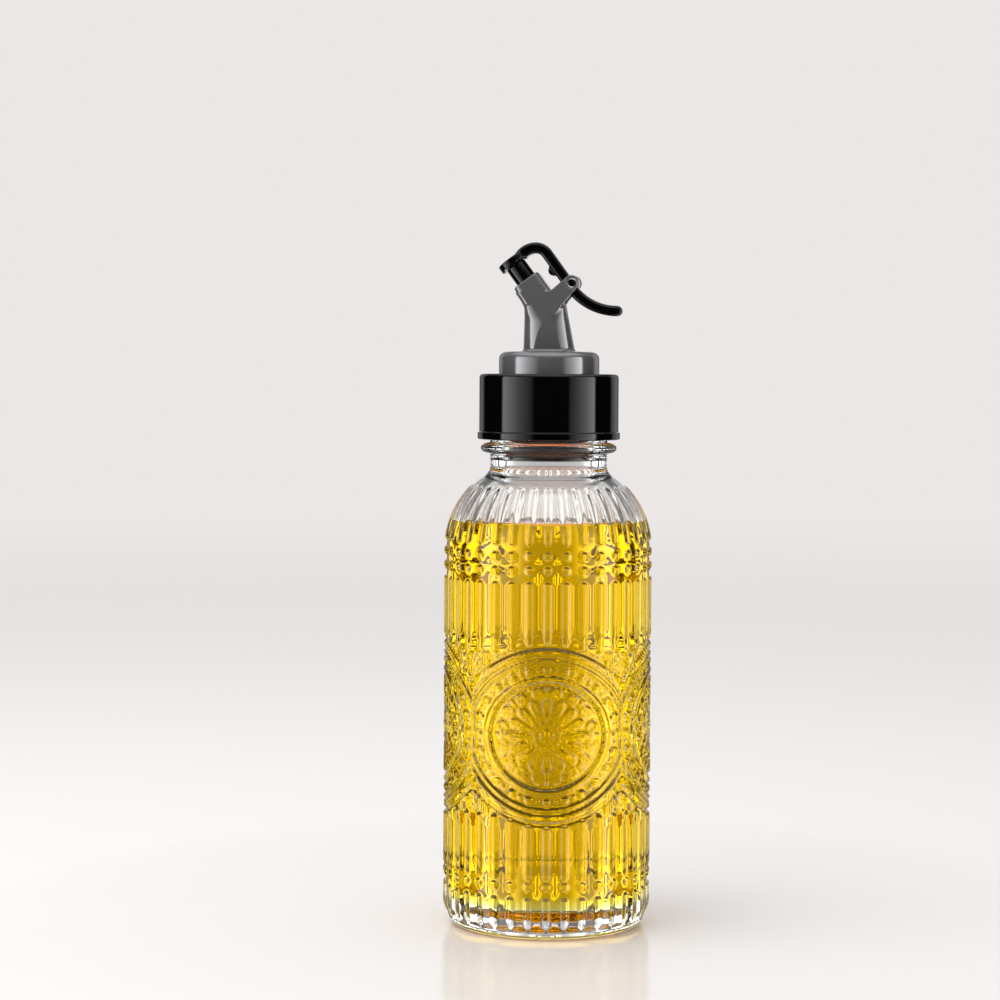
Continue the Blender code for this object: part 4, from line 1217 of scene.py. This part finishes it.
@dataclass
class Pourer:
    """Grey moulding with its seals: flange, collar and stem below, and the forked neck above.

    Methods that take points p, (..., 3) arrays in millimetres, give a distance field: negative inside.
    """

    layout: Layout
    clamp_radius: float = 19.4
    clamp_thickness: float = 1.6
    collar_radius: float = 15.7
    collar_fillet: float = 2.3
    seam_radius: float = 12.0
    seam_depth: float = 1.2
    stem_radius: float = 8.0
    stem_bore: float = 6.2
    stem_length: float = 21.5
    base_room: float = 7.0
    channel: float = 2.2
    riser_top: float = 9.7
    base_width: float = 8.1
    base_depth: float = 6.3
    top_left: float = 7.6
    top_right: float = 4.6
    flare: float = 2.2
    flare_start: float = 0.72
    flare_run: float = 0.28
    oval_power: float = 2.0
    power_rise: float = 2.6
    arm_width: float = 9.0
    arm_depth: float = 10.5
    arm_length: float = 9.0
    arm_corner: float = 2.2
    arm_edge: float = 0.5
    arm_fillet: float = 1.6
    clevis_edge: float = 0.4
    clevis_fillet: float = 1.2
    foot_fillet: float = 1.2
    arm_below_fork: float = 2.5
    ear_radius: float = 2.4
    root_radius: float = 3.0
    root_place: tuple = (0.4, -3.0)
    slot_radius: float = 6.6
    lever_width: float = 6.0
    pin_radius: float = 1.15
    eye_radius: float = 1.8
    eye_depth: float = 0.5
    nozzle_radius: float = 3.3
    nozzle_reach: float = 6.0
    socket_depth: float = 4.8
    stopper_core: float = 12.3
    fin_count: int = 3
    fin_pitch: float = 3.6
    fin_start: float = 3.2
    fin_thickness: float = 0.9
    fin_foot: float = 2.2
    gasket_bore: float = 15.3
    cell: float = 0.2

    def base(self, material: Material) -> Object:
        """Turned part: collar, clamp flange and hollow stem, open where the neck's foot fits.

        Args:
            material: Finish.

        Returns:
            The collar.
        """
        top, clamp_top = self.layout.collar_top, self.layout.clamp_top
        clamp_low = clamp_top - self.clamp_thickness
        stem_low = clamp_low - self.stem_length
        corners = [
            (self.seam_radius, top, 0), (self.collar_radius, top, self.collar_fillet),
            (self.collar_radius, clamp_top, 0.2), (self.clamp_radius, clamp_top, 0.3),
            (self.clamp_radius, clamp_low, 0.3), (self.stem_radius, clamp_low, 0.3),
            (self.stem_radius, stem_low, 0.4), (self.stem_bore, stem_low, 0.3),
            (self.stem_bore, clamp_top + self.base_room, 0.5), (self.seam_radius, top - self.seam_depth, 0),
        ]
        return turned("pourer_collar", corners, material, fillet_steps=8)

    def neck(self, p: Array) -> Array:
        """Neck: an oval whose half widths change with height, wide at the foot and square under the fork.

        Its level is the root of |x / half| to the power n + |y / depth| to the power n, less 1, where n goes
        from the oval's power up by the power's rise.
        """
        layout = self.layout
        share = np.clip((p[..., 2] - layout.collar_top) / layout.neck_rise, 0, 1)
        flare = np.clip((share - self.flare_start) / self.flare_run, 0, 1) ** 2
        left = self.base_width + (self.top_left - self.base_width) * share + self.flare * flare
        right = self.base_width + (self.top_right - self.base_width) * share
        depth = self.base_depth + (self.arm_depth / 2 - self.base_depth) * np.clip(2 * share, 0, 1)
        power = self.oval_power + self.power_rise * plateau(share - 0.5, 0.4)
        centre, half = (right - left) / 2, (right + left) / 2
        across = np.abs((p[..., 0] - centre) / half) ** power + np.abs(p[..., 1] / depth) ** power
        level = (np.maximum(across, 1e-9) ** (1 / power) - 1) * np.minimum(half, depth)
        ends = np.maximum(layout.collar_top - 1 - p[..., 2], p[..., 2] - layout.fork)
        return np.maximum(level, ends)

    def pouring_arm(self, p: Array) -> Array:
        """Pouring arm: a rounded block along the nozzle's axis that ends at the mouth."""
        across, sideways, along, _ = self.layout.at_nozzle(p)
        wide, deep = np.abs(across) - self.arm_width / 2, np.abs(sideways) - self.arm_depth / 2
        flat = meet(wide, deep, self.arm_corner)
        arm = pull(flat, along + self.arm_length / 2, self.arm_length / 2, self.arm_edge)
        return np.maximum(arm, self.layout.fork - self.arm_below_fork - p[..., 2])

    def clevis(self, p: Array) -> Array:
        """Clevis arm: the plate round a tapered bar from the fork to the ears.

        The bar is swept by a circle whose radius shrinks from the root's to the ears' along the middle line.
        """
        layout = self.layout
        start = np.array([self.root_place[0], layout.fork + self.root_place[1]])
        along = layout.pivot[[0, 2]] - start
        length = np.linalg.norm(along)
        along = along / length
        spot = p[..., [0, 2]] - start
        t = spot @ along
        s = np.abs(spot @ np.array([-along[1], along[0]]))
        taper = (self.root_radius - self.ear_radius) / length
        shift = np.clip((t + s * taper / math.sqrt(1 - taper * taper)) / length, 0, 1)
        radius = self.root_radius + (self.ear_radius - self.root_radius) * shift
        flat = np.hypot(t - shift * length, s) - radius
        return pull(flat, p[..., 1], self.arm_depth / 2, self.clevis_edge)

    def shape(self, p: Array) -> Array:
        """Field of the forked neck with its slot, eyes, socket and pour channel cut out."""
        layout = self.layout
        side = np.abs(p[..., 1])
        from_axis = np.hypot(p[..., 0], p[..., 1])
        from_pivot = layout.from_pivot(p)
        _, _, along, ring = layout.at_nozzle(p)
        half_seam = self.seam_depth / 2
        foot_end = np.abs(p[..., 2] - layout.collar_top + half_seam) - half_seam
        body = join_soft(self.neck(p), self.pouring_arm(p), self.arm_fillet)
        body = join_soft(body, self.clevis(p), self.clevis_fillet)
        body = np.maximum(body, side - self.arm_depth / 2)
        body = join_soft(body, np.maximum(from_axis - self.seam_radius, foot_end), self.foot_fillet)
        slot = pull(from_pivot - self.slot_radius, p[..., 1], self.lever_width / 2 + SLIDE_GAP, 0.2)
        sink = np.maximum(from_pivot - self.eye_radius, self.arm_depth / 2 - self.eye_depth - side)
        socket = np.maximum(ring - self.nozzle_radius - SEAT_GAP, -along - self.socket_depth)
        eye = from_pivot - self.pin_radius - SLIDE_GAP
        for tool, edge in ((slot, 0.4), (sink, 0.4), (eye, 0.3), (socket, 0.3)):
            body = cut_soft(body, tool, edge)
        bend = -layout.mouth_x / math.sin(layout.nozzle_tilt)
        spout = np.maximum(ring - self.channel, -along - bend)
        riser = np.maximum(from_axis - self.channel, p[..., 2] - layout.mouth[2] + self.riser_top)
        return np.maximum(body, -np.minimum(spout, riser))

    def fork(self, material: Material) -> Object:
        """Forked neck laid on its field."""
        low = np.array([-13.0, -12.6, self.layout.collar_top - self.seam_depth - 0.6])
        high = np.array([12.6, 12.6, self.layout.pivot[2] + 5.4])
        return field_piece("pourer_fork", self.shape, low, high, self.cell, material)

    def nozzle(self, material: Material) -> Object:
        """Black spout in the mouth, with a rounded lip at its end."""
        low, high = -self.socket_depth, self.nozzle_reach
        outer, bore = self.nozzle_radius, self.channel
        corners = [(bore, high, 0.3), (outer, high, 0.5), (outer, low, 0.2), (bore, low, 0.2)]
        return self.layout.on_nozzle(turned("pouring_nozzle", corners, material, SMALL_TURN_STEPS))

    def pin(self, material: Material) -> Object:
        """Pivot pin with rounded ends, across both ears."""
        half, radius = self.arm_depth / 2 - 0.3, self.pin_radius
        corners = [(0, half, 0), (radius, half, 0.3), (radius, -half, 0.3), (0, -half, 0)]
        axes = np.array([[1.0, 0, 0], [0, 0, 1.0], [0, -1.0, 0]])
        return move_points(turned("lever_pin", corners, material, PIN_TURN_STEPS), axes, self.layout.pivot)

    def stopper(self, material: Material) -> Object:
        """Finned rubber sleeve on the stem, whose end shows through the glass neck.

        Args:
            material: Finish.

        Returns:
            The stopper.
        """
        (_, _, low), (fin, _, top) = node_box("neck_stopper")
        bore, core = self.stem_radius + SEAT_GAP, self.stopper_core
        corners = [(bore, top, 0.2), (core, top, 0.3)]
        for i in range(self.fin_count):
            fin_top = top - self.fin_start - self.fin_pitch * i
            corners += [
                (core, fin_top, 0.3), (fin, fin_top - 0.3, 0.35), (fin, fin_top - self.fin_thickness, 0.35),
                (core, fin_top - self.fin_foot, 0.3),
            ]
        corners += [(core, low + 0.8, 0.3), (core - 0.8, low, 0.3), (bore, low, 0.3)]
        return turned("finned_stopper", corners, material)

    def gasket(self, material: Material) -> Object:
        """Flat ring between the rim and the flange."""
        (_, _, low), (outer, _, high) = node_box("rim_gasket")
        spots = ((self.gasket_bore, high), (outer, high), (outer, low), (self.gasket_bore, low))
        return turned("flat_gasket", [(*spot, 0.2) for spot in spots], material, fillet_steps=3)


@dataclass
class PourLever:
    """Black lever: arched arm, hub, nub and tail in one moulding with the hooked cap over the nozzle."""

    layout: Layout
    width: float = Pourer.lever_width
    thickness: float = 3.5
    tip_thickness: float = 3.3
    edge: float = 1.1
    top_ahead: float = 8.0
    top_above: float = 3.28
    left_radius: float = 5.85
    left_turn: float = math.radians(58)
    right_radius: float = 4.3
    pivot_offset: float = 1.08
    below_pivot: float = 0.9
    tail_radius: float = 17.7
    tail_points: int = 30
    hub_radius: float = 2.2
    nub_radius: float = 1.7
    nub_share: float = 0.42
    arch_points: int = 40
    cap_start: float = 6.3
    cap_thickness: float = 2.1
    cap_radius: float = 4.8
    room_radius: float = 4.2
    lip_depth: float = 0.6
    pad_radius: float = 2.9
    pad_thickness: float = 1.0
    hub_fillet: float = 0.6
    nub_fillet: float = 0.5
    cap_edge: float = 0.45
    cap_fillet: float = 0.5
    cell: float = 0.22

    def path(self) -> tuple[Array, float]:
        """Middle line of the lever in the XZ plane from the cap to the tail, and the arm's slope.

        The straight arm is the line that leaves the arch's right arc and passes the pivot at its offset.

        Returns:
            (n, 2) points, and the angle by which the arm falls.
        """
        layout = self.layout
        face = layout.mouth + layout.nozzle_axes[2] * (self.cap_start + self.cap_thickness)
        top = np.array([face[0] + self.top_ahead, face[2] + self.top_above])
        pivot = layout.pivot[[0, 2]]
        left_middle, right_middle = top - [0, self.left_radius], top - [0, self.right_radius]
        reach = pivot - right_middle
        elbow_angle = math.atan2(reach[1], reach[0])
        elbow_angle += math.acos((self.right_radius + self.pivot_offset) / np.linalg.norm(reach))
        slope = RIGHT_ANGLE - elbow_angle
        half = self.arch_points // 2
        left = arc(left_middle, self.left_radius, RIGHT_ANGLE + self.left_turn, RIGHT_ANGLE, half)
        right = arc(right_middle, self.right_radius, RIGHT_ANGLE, elbow_angle, half + 1)
        along = np.array([math.cos(slope), -math.sin(slope)])
        knee = right[-1] + along * ((pivot - right[-1]) @ along + self.below_pivot)
        tail_middle = knee + self.tail_radius * np.array([math.sin(slope), math.cos(slope)])
        tail = arc(tail_middle, self.tail_radius, -RIGHT_ANGLE - slope, -RIGHT_ANGLE, self.tail_points)
        return np.concatenate([left, right[1:], tail]), slope

    def bar(self, line: Array, x: Array, z: Array) -> Array:
        """Flat field round the middle line, whose thickness changes evenly from the cap to the tail's tip.

        Args:
            line: (n, 2) middle line.
            x: Places along X.
            z: Heights.

        Returns:
            Distance to the bar in its own plane.
        """
        best = np.full(x.shape, 1e3)
        half = np.full(x.shape, self.thickness / 2)
        lengths = np.linalg.norm(np.diff(line, axis=0), axis=1)
        run = np.concatenate([[0], np.cumsum(lengths)])
        for start, end, length, before in zip(line[:-1], line[1:], lengths, run):
            along = (end - start) / length
            t = np.clip((x - start[0]) * along[0] + (z - start[1]) * along[1], 0, length)
            away = np.hypot(x - start[0] - t * along[0], z - start[1] - t * along[1])
            nearer = away < best
            best = np.where(nearer, away, best)
            share = (before + t) / run[-1]
            thickness = self.thickness + (self.tip_thickness - self.thickness) * share
            half = np.where(nearer, thickness / 2, half)
        return best - half

    def shape(self, p: Array) -> Array:
        """Field of the lever: a plate round the middle line, with hub, nub and hooked cap run into it.

        Args:
            p: (..., 3) points in millimetres.

        Returns:
            Distance field, negative inside.
        """
        layout = self.layout
        line, slope = self.path()
        x, z = p[..., 0], p[..., 2]
        from_pivot = layout.from_pivot(p)
        _, _, along, ring = layout.at_nozzle(p)
        flat = join_soft(self.bar(line, x, z), from_pivot - self.hub_radius, self.hub_fillet)
        body = pull(flat, p[..., 1], self.width / 2, self.edge)
        arm_start, arm_end = line[self.arch_points - 1], line[self.arch_points]
        inward = np.array([-math.sin(slope), -math.cos(slope)])
        nub_middle = arm_start + (arm_end - arm_start) * self.nub_share + inward * (self.thickness / 2 - 0.4)
        nub = np.hypot(x - nub_middle[0], z - nub_middle[1]) - self.nub_radius
        body = join_soft(body, pull(nub, p[..., 1], self.width / 2 - 0.7, 0.5), self.nub_fillet)
        half_room = self.cap_start / 2 + 1
        room = pull(ring - self.room_radius, along - self.cap_start / 2 + 1, half_room, 0.3)
        body = cut_soft(body, room, 0.4)
        cap_low, cap_high = self.cap_start - self.lip_depth, self.cap_start + self.cap_thickness
        from_middle, half_cap = along - (cap_low + cap_high) / 2, (cap_high - cap_low) / 2
        cap = pull(ring - self.cap_radius, from_middle, half_cap, self.cap_edge)
        nozzle_corner = layout.mouth - layout.nozzle_axes[0] * Pourer.nozzle_radius
        nozzle_corner += layout.nozzle_axes[2] * Pourer.nozzle_reach
        swing = np.linalg.norm(nozzle_corner - layout.pivot) + SLIDE_GAP
        hollow = np.maximum(along - self.cap_start, from_pivot - swing)
        body = join_soft(body, cut_soft(cap, hollow, 0.3), self.cap_fillet)
        recess_top = self.cap_start + self.pad_thickness + SEAT_GAP
        recess = np.maximum(ring - self.pad_radius - SEAT_GAP, along - recess_top)
        body = np.maximum(body, -np.maximum(recess, self.cap_start - 2 - along))
        return np.maximum(body, Pourer.pin_radius + SLIDE_GAP - from_pivot)

    def build(self, material: Material) -> Object:
        """Lever laid on its field."""
        low, high = node_box("pour_lever")
        return field_piece("hooked_lever", self.shape, low - 1, high + 1, self.cell, material)

    def pad(self, material: Material) -> Object:
        """Soft disc that closes the nozzle."""
        radius, low, high = self.pad_radius, self.cap_start, self.cap_start + self.pad_thickness
        corners = [(0, high, 0), (radius, high, 0.2), (radius, low, 0.25), (0, low, 0)]
        return self.layout.on_nozzle(turned("seal_disc", corners, material, SMALL_TURN_STEPS))


# Studio


@dataclass(frozen=True)
class RoomView:
    """Room as one kind of ray sees it: grey levels by direction, and the strength of their light.

    The levels to the left and right stand by degrees away from the camera's direction. The band says how far
    they show, and the poles give the levels elsewhere, both by degrees over the horizon.
    """

    left: Levels
    right: Levels
    band: Levels
    poles: Levels
    strength: float

    def round_room(self) -> Levels:
        """Ramp stops round the room: a place is 0.5 straight ahead, less or more a share of the full turn."""
        first = [(0.5 - degrees / 360, level) for degrees, level in reversed(self.left)]
        return first + [(0.5 + degrees / 360, level) for degrees, level in self.right]

    @staticmethod
    def by_height(levels: Levels) -> Levels:
        """Ramp stops from degrees over the horizon: the place is (sine + 1) / 2."""
        return [((math.sin(math.radians(degrees)) + 1) / 2, level) for degrees, level in levels]

    def light(self, nodes: Nodes, sides: Socket, climb: Socket) -> Socket:
        """Adds the light of the room to a world.

        Args:
            nodes: Node tree of the world.
            sides: Place of a direction round the room, from 0 to 1.
            climb: Place of its height, from 0 straight down to 1 straight up.

        Returns:
            Shader.
        """
        inputs = {
            "Factor": nodes.ramp(climb, self.by_height(self.band)),
            6: nodes.ramp(climb, self.by_height(self.poles)),
            7: nodes.ramp(sides, self.round_room()),
        }
        return nodes.background(nodes.add("Mix", inputs, data_type="RGBA").outputs[2], self.strength)


FRAMED_WINDOWS = [
    (70, 0.8), (112, 0.1), (116, 1.7), (131, 1.7), (132.5, 0.02), (138, 0.02), (139.5, 1.7), (147, 1.6),
    (148, 0.05), (151, 0.05), (152, 1.6), (160, 1.55), (161, 0.1), (163.5, 0.1), (164.5, 1.45), (172, 0.42),
]

# Reflections see a window at each side, pale strips behind, a dark counter below and a pale ceiling
MIRRORED_ROOM = RoomView(
    left=[
        (24, 0.0), (29, 0.1), (50, 0.4), (70, 0.9), (81, 1.1), (84, 0.0), (133, 0.0), (138, 0.12),
        (150, 0.15), (158, 0.05), (165, 0.05), (168, 0.28),
    ],
    right=[
        (32, 0.0), (35, 0.12), (52, 0.4), (66, 0.75), (80, 1.25), (83, 0.0), (121, 0.0), (127, 0.12),
        (134, 0.17), (150, 0.17), (158, 0.05), (165, 0.05), (168, 0.28),
    ],
    band=[(-50, 0.0), (-42, 1.0), (20, 1.0), (28, 0.0)],
    poles=[(-62, 0.6), (-52, 0.02), (36, 0.05), (52, 0.36)],
    strength=3.0,
)

# The glass shows a grey wall and bright windows with dark frames, dark strips round them, and pale beyond
ROOM_THROUGH_GLASS = RoomView(
    left=FRAMED_WINDOWS,
    right=FRAMED_WINDOWS,
    band=[(-17, 0.0), (-15, 1.0), (13, 1.0), (15, 0.0)],
    poles=[(-60, 1.3), (-34, 1.5), (-26, 0.1), (28, 0.15), (36, 1.4), (60, 1.4)],
    strength=1.2,
)


@dataclass(frozen=True)
class Studio:
    """Pale floor, room light, softbox and the camera at the photograph's angle."""

    azimuth: float = math.radians(6.0)
    distance: float = 825.0
    eye_height: float = 173.3
    focal_px: float = 2640.0
    frame_px: float = 1000.0
    axis_px: float = 548.4
    horizon_px: float = 370.0
    sensor_mm: float = 36.0
    roll: float = math.radians(0.3)
    floor_height: float = -0.2
    floor_steps: int = 128
    floor_radius: float = 2400.0
    floor_fade: float = 400.0
    polish_radius: float = 80.0
    polish_end: float = 190.0
    softbox_place: tuple = (-350.0, -250.0, 900.0)
    softbox_size: float = 700.0
    softbox_watts: float = 4.0
    softbox_aim: float = 100.0

    def camera(self) -> None:
        """Adds the camera, turned so that the bottle's axis and the horizon fall where the photo has them."""
        data = bpy.data.cameras.new("camera")
        data.sensor_width = self.sensor_mm
        data.lens = self.focal_px * self.sensor_mm / self.frame_px
        data.clip_start = 0.01
        camera = bpy.data.objects.new("camera", data)
        middle = self.frame_px / 2
        yaw = math.atan((self.axis_px - middle) / self.focal_px)
        pitch = math.atan((middle - self.horizon_px) / self.focal_px)
        x, y = self.distance * math.sin(self.azimuth), -self.distance * math.cos(self.azimuth)
        camera.location = (x * MM, y * MM, self.eye_height * MM)
        aim = Euler((RIGHT_ANGLE - pitch, 0, self.azimuth + yaw)).to_matrix()
        camera.rotation_euler = (aim @ Euler((0, 0, self.roll)).to_matrix()).to_euler()
        bpy.context.scene.collection.objects.link(camera)
        bpy.context.scene.camera = camera

    def floor(self) -> None:
        """Adds a large pale disc, glossy like honed stone near the bottle, which fades out far behind it.

        Reflections and what is seen through the glass leave it out, so that they show the room alone.
        """
        material = bpy.data.materials.new("honed_pale_stone")
        nodes = Nodes(material)
        place = nodes.add("TexCoord").outputs["Object"]
        away = nodes.add("VectorMath", {0: place}, operation="LENGTH").outputs["Value"]
        shine = nodes.span(away, self.polish_radius * MM, self.polish_end * MM, 0.5, 0.0, "SMOOTHSTEP")
        colour = linear("#F1EEEC")
        stone = nodes.principled(
            {"Base Color": colour, "Roughness": 0.16, "IOR": 1.3, "Specular IOR Level": shine}
        )
        fade = nodes.span(away, self.floor_fade * MM, self.floor_radius * MM, 0.0, 1.0, "SMOOTHSTEP")
        clear = nodes.add("BsdfTransparent", {"Color": WHITE})
        mixed = nodes.add("MixShader", {0: fade, 1: stone.outputs[0], 2: clear.outputs[0]})
        nodes.fill(nodes.tree.nodes["Material Output"], {"Surface": mixed.outputs[0]})
        shell = RingShell(self.floor_steps)
        shell.turn_all((radius, self.floor_height) for radius in (self.floor_radius, self.floor_fade, 0.0))
        floor = shell.piece("floor", [material])
        floor.visible_glossy = False
        floor.visible_transmission = False

    def room(self) -> None:
        """Adds the world's light, with a room of its own for reflections, glass, other light and the view."""
        world = bpy.data.worlds.new("pale_room")
        bpy.context.scene.world = world
        nodes = Nodes(world)
        nodes.tree.nodes.clear()
        place = nodes.add("TexCoord").outputs["Generated"]
        turn = {"Vector": place, "Rotation": (0, 0, RIGHT_ANGLE - self.azimuth)}
        turned_place = nodes.add("Mapping", turn, vector_type="POINT").outputs["Vector"]
        sides = nodes.add("TexGradient", {"Vector": turned_place}, gradient_type="RADIAL").outputs["Fac"]
        height = nodes.add("SeparateXYZ", {"Vector": place}).outputs["Z"]
        climb = nodes.span(height, -1.0, 1.0, 0.0, 1.0, "LINEAR")
        lights = {
            "Is Glossy Ray": MIRRORED_ROOM.light(nodes, sides, climb),
            "Is Transmission Ray": ROOM_THROUGH_GLASS.light(nodes, sides, climb),
            "Is Camera Ray": nodes.background(linear("#EBE7E6"), 1.0),
        }
        rays = nodes.add("LightPath")
        shader = nodes.background(linear("#F2F2F4"), 0.9)
        for ray, light in lights.items():
            shader = nodes.add("MixShader", {0: rays.outputs[ray], 1: shader, 2: light}).outputs[0]
        nodes.add("OutputWorld", {"Surface": shader})

    def softbox(self) -> None:
        """Adds a square softbox high up at the left in front, which faces the bottle's middle."""
        data = bpy.data.lights.new("top_softbox", "AREA")
        data.size = self.softbox_size * MM
        data.energy = self.softbox_watts
        light = bpy.data.objects.new("top_softbox", data)
        x, y, z = self.softbox_place
        light.location = (x * MM, y * MM, z * MM)
        light.rotation_euler = (math.atan2(math.hypot(x, y), z - self.softbox_aim), 0, math.atan2(x, -y))
        light.visible_glossy = False
        light.visible_transmission = False
        bpy.context.scene.collection.objects.link(light)


def dress(piece: Object, body: Body, slot: Slot, *nodes: str) -> None:
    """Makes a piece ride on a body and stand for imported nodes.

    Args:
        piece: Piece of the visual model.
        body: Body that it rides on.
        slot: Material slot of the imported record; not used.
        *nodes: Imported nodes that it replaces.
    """
    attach(piece, body.value)
    if nodes:
        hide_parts(*nodes)
    log.info("%s rides on %s with %d faces", piece.name, body.value, len(piece.data.polygons))


def main() -> None:
    """Builds the finishes, the pieces and the studio in order."""
    logging.basicConfig(level=logging.INFO, format="%(name)s: %(message)s")
    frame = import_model()
    layout = Layout.from_frame(frame)
    studio = Studio()
    black = MouldedPlastic("gloss_black_abs", "#030303", "#060606", 0.06).build()
    grey = MouldedPlastic("metal_grey_abs", "#848486", "#8A8A8C", 0.13, metallic=0.6).build()
    rubber = Silicone("black_silicone_rubber", "#141414").build()
    white = Silicone("white_silicone_rubber", "#E8E7E2").build()
    glass = PressedGlass("pressed_soda_lime_glass").build()
    wet = WetWall("oil_wetted_glass").build()
    oil_side = CookingOil("cooking_oil_body", free_surface=False).build()
    oil_top = CookingOil("cooking_oil_surface", free_surface=True).build()

    bottle = GlassBottle(layout, camera_turn=studio.azimuth - RIGHT_ANGLE)
    dress(bottle.build(glass, wet), Body.BOTTLE, Slot.GLASS, "glass_bottle")
    dress(bottle.oil(oil_side, oil_top), Body.BOTTLE, Slot.GLASS)
    dress(ScrewCap().build(black), Body.CAP, Slot.BLACK_PLASTIC, "screw_cap")
    pourer = Pourer(layout)
    dress(pourer.base(grey), Body.POURER, Slot.GREY_PLASTIC, "pourer_body")
    dress(pourer.fork(grey), Body.POURER, Slot.GREY_PLASTIC, "pourer_body")
    dress(pourer.nozzle(black), Body.POURER, Slot.BLACK_PLASTIC, "nozzle_tip")
    dress(pourer.pin(black), Body.POURER, Slot.BLACK_PLASTIC, "pivot_pin")
    dress(pourer.stopper(rubber), Body.POURER, Slot.BLACK_SILICONE, "neck_stopper")
    dress(pourer.gasket(white), Body.POURER, Slot.WHITE_SILICONE, "rim_gasket")
    lever = PourLever(layout)
    dress(lever.build(black), Body.LEVER, Slot.BLACK_PLASTIC, "pour_lever")
    dress(lever.pad(rubber), Body.LEVER, Slot.BLACK_SILICONE, "lever_seal_pad")

    studio.camera()
    studio.floor()
    studio.room()
    studio.softbox()
    bpy.context.scene.view_settings.view_transform = "Standard"


if __name__ == "__main__":
    main()
